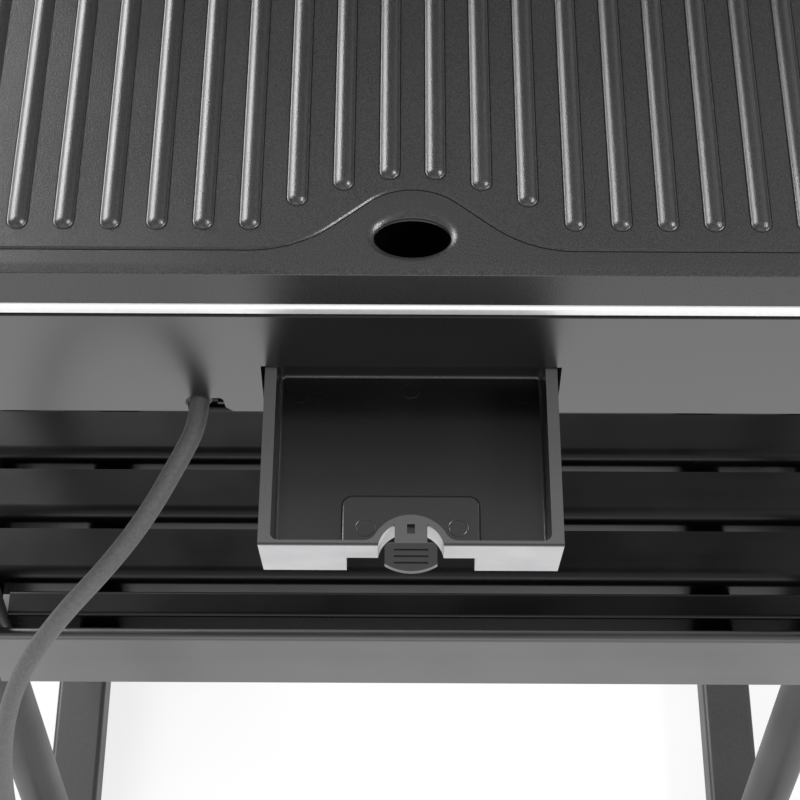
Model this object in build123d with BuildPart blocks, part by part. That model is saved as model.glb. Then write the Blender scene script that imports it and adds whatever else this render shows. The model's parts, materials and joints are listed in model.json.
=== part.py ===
from build123d import *
import math
import os

os.makedirs("parts", exist_ok=True)

# An electric barbecue grill on a stand. Millimetres and degrees, +Z up, the tray side towards -Y,
# and the origin on the floor below the middle of the whole grill with its tray out and its lid open.

# Driving dimensions of the housing and the trim
body_width = 480
body_depth = 360
body_corner = 28
wall = 2.5
wall_height = 54.4
wall_top_z = 740
seat_lip_inset = 1.2
seat_lip_width = 3.6
seat_lip_drop = 6
shadow_gap = 0.5
trim_height = 5.46
trim_depth = 5
trim_round = 2.2
trim_foot_round = 1.2
ledge_width = 10
ledge_thickness = 3
ledge_drop = 13
boss_radius = 5
boss_inset = 8
seat_gap = 0.3
slide_gap = 0.4

# Grill plate
plate_height = 16.44
plate_thickness = 5
lip_thickness = 4
plate_edge_round = 1.2
platform_inset = 9
platform_corner = 22
margin_step = 0.5
bell_half_width = 48
bell_reach = 23.3
rib_pitch = 14.2
rib_width = 5.6
rib_height = 4.5
rib_draft = 4
rib_round = 2
rib_end_setback = 16.6
rib_side_margin = 18
drain_rib_setbacks = [36.4, 32.1, 25.9]
drain_setback = 14.7
drain_length = 24
drain_width = 15.3
drain_round = 2
drain_step = 0.1
spout_wall = 2.4
spout_drop = 4

# Drip tray, its silver front and its bay
tray_width = 93.6
tray_length = 73.4
tray_height = 16.2
tray_top_drop = 29
tray_draft = 4.1
tray_side_wall = 3.75
tray_front_wall = 1.1
tray_rear_wall = 2
tray_floor = 1.8
tray_inner_round = 2.5
fascia_thickness = 0.6
rim_cap = 0.6
tray_pull = 64.4
tab_reach = 9
paddle_length = 9.9
tab_width = 16
tab_neck_width = 10
tab_thickness = 1.6
tab_front_radius = 14
tab_groove_pitch = 2.25
tab_groove_length = 10.6
tab_groove_width = 0.8
tab_groove_depth = 0.5
tab_groove_reach = 1.7
neck_mark_width = 2.4
neck_mark_length = 3.4
neck_mark_reach = 5.7
neck_mark_depth = 1.2
notch_radius = 10.2
notch_forward = 1.6
notch_wall = 1.4
recess_width = 39.6
recess_depth = 19.9
recess_front_height = 8.25
recess_side_wall = 1.9
recess_roof = 1.6
recess_round = 3.5
recess_edge_round = 1.2
collar_blend = 4
mouth_width = 96.4
mouth_drop = 27.7
bay_sheet = 1.2
bay_clearance = 2.5
runner_width = 7.4
bay_flange = 6

# Heating parts
element_diameter = 6.6
element_pass_gap = 80
element_side_setback = 55
element_end_setback = 40
element_tail_drop = 44
element_bend = 12
element_turn_share = 0.48
clamp_size = 16
clamp_thickness = 1.2
clamp_x = 100
reflector_sheet = 0.8
reflector_depth = 9
reflector_flange = 18
reflector_front_setback = 30
reflector_hole_gap = 1
chute_sheet = 0.6
chute_clearance = 1
chute_flange = 7

# Controls on the front wall, to the right of the tray
knob_side_setback = 75
knob_diameter = 34
knob_depth = 15
knob_skirt = 3
knob_step = 1.5
knob_cap = 3
knob_draft = 4
knob_grip_draft = 6
knob_grip_gap = 10
knob_grip_cut = 11
pointer_width = 1.6
pointer_length = 8
pointer_depth = 0.6
pointer_offset = 7
knob_gap = 0.8
dial_diameter = 46
dial_thickness = 0.8
shaft_diameter = 6
shaft_fit = 0.05
bush_diameter = 10
bush_length = 7
bush_nut_width = 14
nut_clearance = 2
shaft_seat = 6
hole_clearance = 0.3
thermostat_width = 32
thermostat_height = 26
thermostat_depth = 24
thermostat_corner = 2
lamp_side_setback = 35
lamp_diameter = 9
lamp_dome = 2.5
lamp_round = 2
lamp_flange = 12
lamp_body_length = 22
cutout_x = 130
cutout_diameter = 16
cutout_height = 6
cutout_tab_thickness = 1
cutout_tab_width = 5

# Cord, its notch and what holds it
cord_diameter = 6.5
cord_exit_x = -69.3
cord_exit_drop = 49.3
cord_notch_radius = 4.6
cord_notch_throat = 8
cord_shoulder_width = 7.8
cord_shoulder_drop = 46.5
cord_shoulder_corner = 1
cord_shoulder_lean = 0.6
cord_shoulder_flare = 2.4
relief_length = 28
relief_tip_wall = 0.9
relief_root_wall = 1.8
relief_recess = 1.2
coil_radius = 43
coil_pitch = 7
coil_layer_rise = 6.95
coil_turns_in = 2
coil_turns_out = 1.75
tail_straight = 15
tail_reach = 41
plug_diameter = 38
plug_length = 34
plug_grip_length = 26
plug_neck_radius = 5
plug_flare = 5
plug_round = 3
plug_pin_diameter = 4.8
plug_pin_length = 19
plug_pin_pitch = 19
plug_pin_seat = 10
plug_pin_root = 4
contact_width = 6
contact_depth = 3
contact_length = 20
contact_sheet = 0.8

# Bottom cover, terminal block and wires
cover_sheet = 1.2
cover_gap = 0.3
cover_cut_gap = 0.5
screw_head = 7
screw_head_height = 1.8
screw_shank = 3
terminal_length = 34
terminal_width = 20
terminal_setback = 54
terminal_height = 14
terminal_screw_hole = 3.6
terminal_screw_depth = 3
vent_length = 40
vent_width = 4
vent_columns = 3
vent_rows = 5
vent_pitch_x = 60
vent_pitch_y = 12
vent_setback = 60
wire_diameter = 2.6
wire_bend = 5
wire_turn_gap = 16
wire_rise = 12
wire_spacing = 6
cord_clamp_width = 20
cord_clamp_length = 8
cord_clamp_wall = 2

# Lid, open at rest
lid_inset = 3.6
lid_height = 84
lid_sheet = 1.6
lid_draft = 5
lid_corner = 36
lid_top_round = 24
lid_gap = 0.4
lid_open_angle = 98
hinge_gap = 10
hinge_rise = 6
hinge_x = 150
hinge_ear = 6
hinge_sheet = 3
hinge_pin_diameter = 5
hinge_pin_fit = 0.05
hinge_heel = 18
hinge_side_gap = 0.4
hinge_stop_share = 0.72
hinge_stop_radius = 2
arm_low = 4
arm_high = 30
hinge_drop = 42
hinge_foot = 24
bracket_top_drop = 2
bracket_throat_rise = 3
bracket_stop_rise = 2
bracket_stop_drop = 6
bracket_heel_gap = 1
pin_head_reach = 1.8
pin_head_height = 1.6
pin_rivet_reach = 1.2
lid_handle_diameter = 18
lid_handle_length = 260
lid_handle_offset = 36
lid_handle_height = 34
lid_post_x = 105
lid_post_diameter = 12
lid_screw = 4
lid_screw_depth = 9
lid_screw_tip_gap = 1

# Side handles
side_handle_length = 130
side_handle_reach = 34
side_handle_thickness = 16
side_handle_height = 20
side_handle_round = 4

# Stand
leg_diameter = 25
leg_wall = 1.5
leg_side_setback = 35
socket_wall = 3
socket_depth = 36
socket_fit = 0.2
socket_flange = 52
socket_flange_thickness = 3
socket_corner = 6
foot_bar_width = 30
foot_bar_height = 25
foot_bar_length = 344
foot_bar_wall = 2
foot_bar_corner = 3
pad_diameter = 26
pad_height = 8
pad_inset = 18
cross_bar_diameter = 16
cap_thickness = 3

# Shelf
shelf_drop = 384
rail_thickness = 6.4
rail_height = 48.6
rail_round = 3
rail_proud = 0.5
slat_pitch = 34.3
slat_thickness = 18
slat_round = 2
slat_front_round = 7
slat_count = 4
slat_gap = 7
end_slat_width = 13.4
end_slat_gap = 5.8
slat_overhang = 6
bearer_x = 150
bearer_width = 20
bearer_height = 20
side_rail_thickness = 12
side_rail_height = 30

# Heights and places worked out from the driving dimensions
wall_bottom_z = wall_top_z - wall_height
trim_bottom_z = wall_top_z + shadow_gap
trim_top_z = trim_bottom_z + trim_height
plate_bottom_z = trim_top_z + seat_gap
plate_top_z = plate_bottom_z + plate_height
plate_under_z = plate_top_z - plate_thickness
margin_top_z = plate_top_z - margin_step
ledge_top_z = wall_top_z - ledge_drop
mouth_top_z = wall_top_z - mouth_drop
tray_top_z = wall_top_z - tray_top_drop
tray_bottom_z = tray_top_z - tray_height
cover_top_z = wall_bottom_z + cover_sheet
tray_reach = tray_pull + tab_reach
knob_x = body_width / 2 - knob_side_setback
lamp_x = body_width / 2 - lamp_side_setback
leg_x = body_width / 2 - leg_side_setback
element_half_length = body_width / 2 - element_side_setback
element_end_x = body_width / 2 - element_end_setback
hinge_z = plate_top_z + hinge_rise
lid_bottom_z = margin_top_z + lid_gap

# How far the open lid stands behind the hinge axis: its front top edge is the furthest point
front_foot_u = hinge_gap + body_depth - lid_inset
foot_w = lid_bottom_z - hinge_z
draft_sine = math.sin(math.radians(lid_draft))
draft_cosine = math.cos(math.radians(lid_draft))
edge_w = foot_w + lid_height - lid_top_round
edge_u = front_foot_u - (lid_top_round + draft_sine * (edge_w - foot_w)) / draft_cosine
open_sine = math.sin(math.radians(lid_open_angle))
open_cosine = math.cos(math.radians(lid_open_angle))
lid_back_reach = edge_w * open_sine - edge_u * open_cosine + lid_top_round

overall_depth = tray_reach + body_depth + hinge_gap + lid_back_reach
front_y = tray_reach - overall_depth / 2
rear_y = front_y + body_depth
mid_y = front_y + body_depth / 2
hinge_y = rear_y + hinge_gap
drain_y = front_y + drain_setback
inner_x = body_width / 2 - wall

# The front wall's plane: sketch X is the grill's X, sketch Y its height
front_plane = Plane(origin=(0, front_y, 0), x_dir=(1, 0, 0), z_dir=(0, -1, 0))
lid_axis = Axis((0, hinge_y, hinge_z), (1, 0, 0))


def write(builder, name):
    """Label a finished piece and write its STEP file."""
    builder.part.label = name
    export_step(builder.part, f"parts/{name}.step")


def swing_open(builder):
    """Turn a piece built on the closed lid about the hinge axis to its open place."""
    builder.part = builder.part.rotate(lid_axis, -lid_open_angle)


# Body housing: a moulded skirt with a seat lip on top, ledges and bosses inside,
# the tray's mouth cut up from its lower edge, and the cord's notch beside the mouth
with BuildPart() as body_housing:
    with BuildSketch(Plane.XY.offset(wall_bottom_z)):
        with Locations((0, mid_y)):
            RectangleRounded(body_width, body_depth, body_corner)
            RectangleRounded(
                body_width - 2 * wall, body_depth - 2 * wall, body_corner - wall, mode=Mode.SUBTRACT
            )
    extrude(amount=wall_height)
    lip_outer_inset = seat_lip_inset
    lip_inner_inset = seat_lip_inset + seat_lip_width
    with BuildSketch(Plane.XY.offset(wall_top_z - seat_lip_drop)):
        with Locations((0, mid_y)):
            RectangleRounded(
                body_width - 2 * lip_outer_inset,
                body_depth - 2 * lip_outer_inset,
                body_corner - lip_outer_inset,
            )
            RectangleRounded(
                body_width - 2 * lip_inner_inset,
                body_depth - 2 * lip_inner_inset,
                body_corner - lip_inner_inset,
                mode=Mode.SUBTRACT,
            )
    extrude(amount=seat_lip_drop + shadow_gap)
    ledge_length = body_depth - reflector_front_setback - body_corner
    ledge_y = front_y + reflector_front_setback + ledge_length / 2
    with BuildSketch(Plane.XY.offset(ledge_top_z - ledge_thickness)):
        with Locations(
            (inner_x - ledge_width / 2, ledge_y),
            (-inner_x + ledge_width / 2, ledge_y),
        ):
            Rectangle(ledge_width + wall, ledge_length)
    extrude(amount=ledge_thickness)
    boss_x = inner_x - boss_inset
    boss_y = body_depth / 2 - wall - boss_inset - body_corner / 2
    with BuildSketch(Plane.XY.offset(cover_top_z + cover_gap)):
        with Locations((0, mid_y)):
            with GridLocations(2 * boss_x, 2 * boss_y, 2, 2):
                Rectangle(2 * boss_inset + wall, 2 * boss_radius)
    extrude(amount=ledge_top_z - ledge_thickness - cover_top_z - cover_gap)
    with BuildSketch(front_plane):
        with Locations((0, wall_bottom_z)):
            Rectangle(mouth_width, 2 * (mouth_top_z - wall_bottom_z))
        with Locations((knob_x, (wall_top_z + wall_bottom_z) / 2)):
            Circle(bush_diameter / 2 + hole_clearance)
        with Locations((lamp_x, (wall_top_z + wall_bottom_z) / 2)):
            Circle(lamp_diameter / 2 + hole_clearance)
    extrude(amount=-2 * wall, mode=Mode.SUBTRACT)
    cord_exit_z = wall_top_z - cord_exit_drop
    shoulder_z = wall_top_z - cord_shoulder_drop
    with BuildSketch(front_plane):
        with Locations((cord_exit_x, cord_exit_z)):
            Circle(cord_notch_radius)
        with Locations((cord_exit_x, (cord_exit_z + wall_bottom_z) / 2)):
            Rectangle(cord_notch_throat, cord_exit_z - wall_bottom_z)
        with BuildLine():
            shoulder_x = cord_exit_x + cord_shoulder_width
            Polyline(
                (cord_exit_x, wall_bottom_z),
                (cord_exit_x, shoulder_z),
                (shoulder_x - cord_shoulder_corner, shoulder_z),
                (shoulder_x, shoulder_z - cord_shoulder_corner),
                (shoulder_x + cord_shoulder_lean, wall_bottom_z + cord_shoulder_flare),
                (shoulder_x + cord_shoulder_lean + cord_shoulder_flare, wall_bottom_z),
                (cord_exit_x, wall_bottom_z),
            )
        make_face()
    extrude(amount=-2 * wall, mode=Mode.SUBTRACT)
write(body_housing, "body_housing")

# Trim frame: the silver strip that runs round the top of the housing
with BuildPart() as trim_frame:
    with BuildSketch(Plane.XY.offset(trim_bottom_z)):
        with Locations((0, mid_y)):
            RectangleRounded(body_width, body_depth, body_corner)
            RectangleRounded(
                body_width - 2 * trim_depth,
                body_depth - 2 * trim_depth,
                body_corner - trim_depth,
                mode=Mode.SUBTRACT,
            )
    extrude(amount=trim_height)
    for level, rounding in ((-1, trim_round), (0, trim_foot_round)):
        loops = trim_frame.edges().group_by(Axis.Z)[level]
        fillet(loops.filter_by(lambda e: abs(e.center().Y - front_y) < 0.01), rounding)
write(trim_frame, "trim_frame")

def rib(length):
    """One cooking rib along Y, with its foot at z = 0, drafted sides and rounded crest and ends."""
    with BuildPart() as bar:
        with BuildSketch():
            SlotOverall(length, rib_width, rotation=90)
        extrude(amount=rib_height + margin_step, taper=rib_draft)
        fillet(bar.faces().sort_by(Axis.Z)[-1].edges(), rib_round)
    return bar.part


rib_half_count = 1 + int((body_width / 2 - rib_side_margin - rib_pitch / 2) / rib_pitch)
rib_setbacks = drain_rib_setbacks + [rib_end_setback] * (rib_half_count - len(drain_rib_setbacks))
ribs = {near: rib(body_depth - near - rib_end_setback) for near in set(rib_setbacks)}

# Grill plate: cast in one piece with its ribs, its down-turned edge and the drain's spout.
# The cooking platform stands a little above the margin, and draws back round the drain.
with BuildPart() as grill_plate:
    with BuildSketch(Plane.XY.offset(plate_bottom_z)):
        with Locations((0, mid_y)):
            RectangleRounded(body_width, body_depth, body_corner)
    extrude(amount=plate_height)
    fillet(grill_plate.faces().sort_by(Axis.Z)[-1].edges(), plate_edge_round)
    with BuildSketch(Plane.XY.offset(plate_bottom_z)):
        with Locations((0, mid_y)):
            RectangleRounded(
                body_width - 2 * lip_thickness, body_depth - 2 * lip_thickness, body_corner - lip_thickness
            )
    extrude(amount=plate_height - plate_thickness, mode=Mode.SUBTRACT)
    with BuildSketch(Plane.XY.offset(margin_top_z)):
        with Locations((0, mid_y)):
            RectangleRounded(body_width + wall, body_depth + wall, body_corner)
        platform_front = front_y + platform_inset
        with BuildLine(mode=Mode.PRIVATE) as platform_line:
            half = body_width / 2 - platform_inset
            back = rear_y - platform_inset
            turn = platform_corner
            bell_mid = (bell_half_width / 2, platform_front + bell_reach / 2)
            bell_angle = 2 * math.atan2(bell_reach, bell_half_width)
            slope = (-math.cos(bell_angle), math.sin(bell_angle))
            Line((half - turn, platform_front), (bell_half_width, platform_front))
            TangentArc((bell_half_width, platform_front), bell_mid, tangent=(-1, 0))
            TangentArc(bell_mid, (0, platform_front + bell_reach), tangent=slope)
            left_mid = (-bell_mid[0], bell_mid[1])
            TangentArc((0, platform_front + bell_reach), left_mid, tangent=(-1, 0))
            TangentArc(left_mid, (-bell_half_width, platform_front), tangent=(slope[0], -slope[1]))
            Line((-bell_half_width, platform_front), (-half + turn, platform_front))
            TangentArc((-half + turn, platform_front), (-half, platform_front + turn), tangent=(-1, 0))
            Line((-half, platform_front + turn), (-half, back - turn))
            TangentArc((-half, back - turn), (-half + turn, back), tangent=(0, 1))
            Line((-half + turn, back), (half - turn, back))
            TangentArc((half - turn, back), (half, back - turn), tangent=(1, 0))
            Line((half, back - turn), (half, platform_front + turn))
            TangentArc((half, platform_front + turn), (half - turn, platform_front), tangent=(0, -1))
        make_face(platform_line.edges(), mode=Mode.SUBTRACT)
    extrude(amount=2 * margin_step, mode=Mode.SUBTRACT)
    for number, near in enumerate(rib_setbacks):
        rib_x = rib_pitch * (number + 0.5)
        rib_y = (front_y + near + rear_y - rib_end_setback) / 2
        with Locations((rib_x, rib_y, margin_top_z), (-rib_x, rib_y, margin_top_z)):
            add(ribs[near])
    with BuildSketch(Plane.XY.offset(plate_under_z - spout_drop)):
        with Locations((0, drain_y)):
            Ellipse(drain_length / 2 + spout_wall, drain_width / 2 + spout_wall)
    extrude(amount=spout_drop + plate_thickness / 2)
    with BuildSketch(Plane.XY.offset(plate_under_z - spout_drop)):
        with Locations((0, drain_y)):
            Ellipse(drain_length / 2, drain_width / 2)
    extrude(amount=spout_drop + plate_thickness + rib_height, mode=Mode.SUBTRACT)
    for widening, level in ((-drain_step, drain_round + drain_step), (drain_round, 0)):
        with BuildSketch(Plane.XY.offset(margin_top_z - level)):
            with Locations((0, drain_y)):
                Ellipse(drain_length / 2 + widening, drain_width / 2 + widening)
    loft(mode=Mode.SUBTRACT)
write(grill_plate, "grill_plate")

# Heating element: one tubular heater bent into four passes, with both tails turned down on the right
element_z = plate_under_z - seat_gap - element_diameter / 2
pass_far = 1.5 * element_pass_gap
pass_near = 0.5 * element_pass_gap
tail_z = element_z - element_tail_drop
with BuildPart() as heating_element:
    with BuildLine() as element_line:
        FilletPolyline(
            (element_end_x, mid_y - pass_far, tail_z),
            (element_end_x, mid_y - pass_far, element_z),
            (-element_half_length, mid_y - pass_far, element_z),
            (-element_half_length, mid_y - pass_near, element_z),
            (element_half_length - element_pass_gap / 4, mid_y - pass_near, element_z),
            (element_half_length - element_pass_gap / 4, mid_y + pass_near, element_z),
            (-element_half_length, mid_y + pass_near, element_z),
            (-element_half_length, mid_y + pass_far, element_z),
            (element_end_x, mid_y + pass_far, element_z),
            (element_end_x, mid_y + pass_far, tail_z),
            radius=[element_bend] + [element_turn_share * element_pass_gap] * 6 + [element_bend],
        )
    with BuildSketch(Plane(element_line.line @ 0, z_dir=element_line.line % 0)):
        Circle(element_diameter / 2)
    sweep()
write(heating_element, "heating_element")

# Element clamps: small saddles screwed up against the plate, over each pass
with BuildPart() as element_clamps:
    clamp_height = element_diameter + seat_gap + clamp_thickness
    pass_offsets = (-pass_far, -pass_near, pass_near, pass_far)
    clamp_spots = [(x, mid_y + y) for x in (-clamp_x, clamp_x) for y in pass_offsets]
    for spot_x, spot_y in clamp_spots:
        with BuildSketch(Plane(origin=(spot_x, spot_y, 0), x_dir=(0, 1, 0), z_dir=(1, 0, 0))):
            with Locations((0, plate_under_z - clamp_height / 2)):
                Rectangle(clamp_size, clamp_height)
            with Locations((0, element_z)):
                Circle(element_diameter / 2 + shaft_fit, mode=Mode.SUBTRACT)
            with Locations((0, element_z + element_diameter / 4)):
                Rectangle(element_diameter + 2 * shaft_fit, element_diameter, mode=Mode.SUBTRACT)
        extrude(amount=clamp_size / 4, both=True)
write(element_clamps, "element_clamps")

# Heat reflector: a pressed sheet pan hung by its flanges on the housing's two ledges
with BuildPart() as heat_reflector:
    reflector_length = body_depth - reflector_front_setback - wall - reflector_flange
    reflector_y = front_y + reflector_front_setback + reflector_length / 2
    pan_x = inner_x - reflector_flange
    pan_length = reflector_length - reflector_flange
    with BuildSketch(Plane.XY.offset(ledge_top_z)):
        with Locations((0, reflector_y)):
            Rectangle(2 * (inner_x - slide_gap), reflector_length)
    extrude(amount=reflector_sheet)
    with BuildSketch(Plane.XY.offset(ledge_top_z - reflector_depth)):
        with Locations((0, reflector_y)):
            Rectangle(2 * pan_x, pan_length)
    extrude(amount=reflector_depth)
    with BuildSketch(Plane.XY.offset(ledge_top_z - reflector_depth + reflector_sheet)):
        with Locations((0, reflector_y)):
            Rectangle(2 * (pan_x - reflector_sheet), pan_length - 2 * reflector_sheet)
    extrude(amount=reflector_depth + reflector_sheet, mode=Mode.SUBTRACT)
    with BuildSketch(Plane.XY.offset(ledge_top_z - reflector_depth)):
        with Locations((element_end_x, mid_y - pass_far), (element_end_x, mid_y + pass_far)):
            Circle(element_diameter / 2 + reflector_hole_gap)
    extrude(amount=reflector_sheet, mode=Mode.SUBTRACT)
    rear_corners = heat_reflector.edges().filter_by(Axis.Z).group_by(Axis.Y)[-1]
    chamfer(rear_corners, body_corner / 2)
write(heat_reflector, "heat_reflector")

# Tray bay: a sheet channel over the tray, with inward runners and outward fixing flanges
with BuildPart() as tray_bay:
    bay_half = mouth_width / 2
    bay_length = tray_length + bay_clearance
    bay_front_y = front_y + wall + cover_gap
    bay_mid_y = (bay_front_y + front_y + bay_length + bay_sheet) / 2
    bay_span = front_y + bay_length + bay_sheet - bay_front_y
    runner_top_z = tray_bottom_z - slide_gap
    bay_bottom_z = cover_top_z
    with BuildSketch(Plane.XY.offset(bay_bottom_z)):
        with Locations((0, bay_mid_y)):
            Rectangle(2 * (bay_half + bay_sheet), bay_span)
    extrude(amount=mouth_top_z + bay_sheet - bay_bottom_z)
    with BuildSketch(Plane.XY.offset(bay_bottom_z)):
        with Locations((bay_half + bay_flange / 2, bay_mid_y), (-bay_half - bay_flange / 2, bay_mid_y)):
            Rectangle(bay_flange + bay_sheet, bay_span)
    extrude(amount=bay_sheet)
    with BuildSketch(Plane.XY.offset(bay_bottom_z)):
        with Locations((0, bay_mid_y - bay_sheet)):
            Rectangle(2 * bay_half, bay_span)
    extrude(amount=mouth_top_z - bay_bottom_z, mode=Mode.SUBTRACT)
    with BuildSketch(Plane.XY.offset(runner_top_z - bay_sheet)):
        runner_x = bay_half - runner_width / 2
        with Locations((runner_x, bay_mid_y), (-runner_x, bay_mid_y)):
            Rectangle(runner_width + bay_sheet, bay_span)
    extrude(amount=bay_sheet)
    with BuildSketch(Plane.XY.offset(mouth_top_z)):
        with Locations((0, drain_y)):
            Ellipse(drain_length / 2 + chute_clearance, drain_width / 2 + chute_clearance)
    extrude(amount=bay_sheet, mode=Mode.SUBTRACT)
write(tray_bay, "tray_bay")

# Drip chute: a short oval pipe that carries the fat from the plate's spout into the tray
with BuildPart() as drip_chute:
    chute_bottom_z = mouth_top_z + bay_sheet
    chute_top_z = plate_under_z - spout_drop - seat_gap
    chute_a = drain_length / 2 + chute_clearance
    chute_b = drain_width / 2 + chute_clearance
    with BuildSketch(Plane.XY.offset(chute_bottom_z)):
        with Locations((0, drain_y)):
            Ellipse(chute_a + chute_sheet, chute_b + chute_sheet)
    extrude(amount=chute_top_z - chute_bottom_z)
    with BuildSketch(Plane.XY.offset(chute_bottom_z)):
        with Locations((0, drain_y)):
            RectangleRounded(2 * (chute_a + chute_flange), 2 * (chute_b + chute_sheet), chute_b / 2)
    extrude(amount=chute_sheet)
    with BuildSketch(Plane.XY.offset(chute_bottom_z)):
        with Locations((0, drain_y)):
            Ellipse(chute_a, chute_b)
    extrude(amount=chute_top_z - chute_bottom_z, mode=Mode.SUBTRACT)
write(drip_chute, "drip_chute")

# Drip tray, standing pulled out of its bay: drafted sides, a finger recess below the front,
# a round notch in the front wall and a pull tab that reaches out over the notch
face_y = front_y - tray_pull
tray_front_y = face_y + fascia_thickness
tray_rear_y = face_y + tray_length
tray_depth = tray_rear_y - tray_front_y
notch_y = face_y - notch_forward
notch_outer = notch_radius + fascia_thickness
recess_roof_z = tray_top_z - recess_front_height
tray_bottom_width = tray_width - 2 * tray_height * math.tan(math.radians(tray_draft))
front_profile = [
    (-tray_width / 2, tray_top_z),
    (tray_width / 2, tray_top_z),
    (tray_bottom_width / 2, tray_bottom_z),
    (-tray_bottom_width / 2, tray_bottom_z),
    (-tray_width / 2, tray_top_z),
]
tray_plane = Plane(origin=(0, tray_front_y, 0), x_dir=(1, 0, 0), z_dir=(0, -1, 0))

with BuildPart() as tray_hollow:
    with BuildSketch(Plane.XY.offset(tray_top_z)):
        inner_front_y = tray_front_y + tray_front_wall
        inner_rear_y = tray_rear_y - tray_rear_wall
        with Locations((0, (inner_front_y + inner_rear_y) / 2)):
            RectangleRounded(tray_width - 2 * tray_side_wall, inner_rear_y - inner_front_y, tray_inner_round)
    extrude(amount=-(tray_height - tray_floor), taper=tray_draft / 2)
    fillet(tray_hollow.faces().sort_by(Axis.Z)[0].edges(), tray_inner_round / 2)

with BuildPart() as recess_block:
    with BuildSketch(Plane.XY.offset(tray_bottom_z)):
        block_rear_y = face_y + recess_depth + recess_side_wall
        with Locations((0, (tray_front_y + block_rear_y) / 2)):
            Rectangle(recess_width + 2 * recess_side_wall, block_rear_y - tray_front_y)
    extrude(amount=recess_roof_z + recess_roof - tray_bottom_z)
    fillet(recess_block.edges().filter_by(Axis.Z).group_by(Axis.Y)[-1], recess_round)
    roof_edges = recess_block.faces().sort_by(Axis.Z)[-1].edges()
    fillet(roof_edges.filter_by(lambda e: e.center().Y > tray_front_y + slide_gap), recess_edge_round)

with BuildPart() as drip_tray:
    with BuildSketch(tray_plane):
        with BuildLine():
            Polyline(*front_profile)
        make_face()
    extrude(amount=-tray_depth)
    with BuildSketch(tray_plane):
        with BuildLine():
            Polyline(*front_profile)
        make_face()
    extrude(amount=fascia_thickness)
    with BuildSketch(Plane.XY.offset(tray_bottom_z)):
        with Locations((0, tray_front_y - fascia_thickness / 2)):
            Rectangle(tray_width, fascia_thickness)
    extrude(amount=tray_height - rim_cap, mode=Mode.SUBTRACT)
    add(tray_hollow.part, mode=Mode.SUBTRACT)
    add(recess_block.part)
    with BuildSketch(Plane.XY.offset(recess_roof_z)) as collar:
        with Locations((0, notch_y)):
            Circle(notch_outer + notch_wall)
        with Locations((0, inner_front_y - notch_outer)):
            Rectangle(4 * notch_outer, 2 * notch_outer)
        fillet(collar.vertices().group_by(Axis.Y)[-1], collar_blend)
        with Locations((0, tray_front_y - 2 * notch_outer)):
            Rectangle(5 * notch_outer, 4 * notch_outer, mode=Mode.SUBTRACT)
    extrude(amount=recess_front_height)
    with BuildSketch(Plane.XY.offset(tray_bottom_z)):
        with Locations((0, (tray_front_y + face_y + recess_depth) / 2)):
            Rectangle(recess_width, face_y + recess_depth - tray_front_y)
    extrude(amount=recess_roof_z - tray_bottom_z, mode=Mode.SUBTRACT)
    with BuildSketch(Plane.XY.offset(tray_bottom_z)):
        with Locations((0, notch_y)):
            Circle(notch_outer)
    extrude(amount=tray_height - rim_cap, mode=Mode.SUBTRACT)
    with BuildSketch(Plane.XY.offset(tray_top_z - 2 * rim_cap)):
        with Locations((0, notch_y)):
            Circle(notch_radius)
    extrude(amount=2 * rim_cap, mode=Mode.SUBTRACT)
    with BuildSketch(Plane.XY.offset(tray_top_z - tab_thickness)):
        tab_tip_y = face_y - tab_reach
        neck_rear_y = notch_y + notch_outer + notch_wall / 2
        with Locations((0, (neck_rear_y + face_y) / 2)):
            Rectangle(tab_neck_width, neck_rear_y - face_y + tab_thickness)
        with BuildSketch(mode=Mode.PRIVATE) as paddle:
            with Locations((0, tab_tip_y + paddle_length / 2)):
                RectangleRounded(tab_width, paddle_length, tab_thickness)
            with Locations((0, tab_tip_y + tab_front_radius)):
                Circle(tab_front_radius, mode=Mode.INTERSECT)
        add(paddle.sketch)
    extrude(amount=tab_thickness)
    with BuildSketch(Plane.XY.offset(tray_top_z)):
        groove_y = face_y - tab_groove_reach - tab_groove_pitch
        with Locations((0, groove_y)):
            with GridLocations(1, tab_groove_pitch, 1, 3):
                SlotOverall(tab_groove_length, tab_groove_width)
    extrude(amount=-tab_groove_depth, mode=Mode.SUBTRACT)
    with BuildSketch(Plane.XY.offset(tray_top_z)):
        with Locations((0, face_y + neck_mark_reach)):
            Rectangle(neck_mark_width, neck_mark_length)
    extrude(amount=-neck_mark_depth, mode=Mode.SUBTRACT)
write(drip_tray, "drip_tray")

# Tray front: a silver skin over the front wall and round the notch, cut away at the finger recess
with BuildPart() as tray_fascia:
    with BuildSketch(tray_plane):
        with BuildLine():
            Polyline(*front_profile)
        make_face()
    extrude(amount=fascia_thickness)
    with BuildSketch(Plane.XY.offset(recess_roof_z)):
        with Locations((0, notch_y)):
            Circle(notch_outer)
        with Locations((0, face_y - notch_outer)):
            Rectangle(4 * notch_outer, 2 * notch_outer, mode=Mode.SUBTRACT)
    extrude(amount=recess_front_height)
    with BuildSketch(Plane.XY.offset(tray_bottom_z)):
        with Locations((0, notch_y)):
            Circle(notch_radius)
    extrude(amount=tray_height, mode=Mode.SUBTRACT)
    with BuildSketch(Plane.XY.offset(tray_bottom_z)):
        with Locations((0, face_y)):
            Rectangle(recess_width, 4 * fascia_thickness)
    extrude(amount=recess_roof_z - tray_bottom_z, mode=Mode.SUBTRACT)
    with BuildSketch(Plane.XY.offset(tray_top_z - tab_thickness - shaft_fit)):
        with Locations((0, notch_y + notch_radius)):
            Rectangle(tab_neck_width + 2 * shaft_fit, 6 * fascia_thickness)
    extrude(amount=tab_thickness + fascia_thickness, mode=Mode.SUBTRACT)
    with BuildSketch(Plane.XY.offset(tray_top_z - rim_cap)):
        with Locations((0, notch_y)):
            Rectangle(2 * tray_width, 4 * notch_outer)
    extrude(amount=2 * rim_cap, mode=Mode.SUBTRACT)
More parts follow.
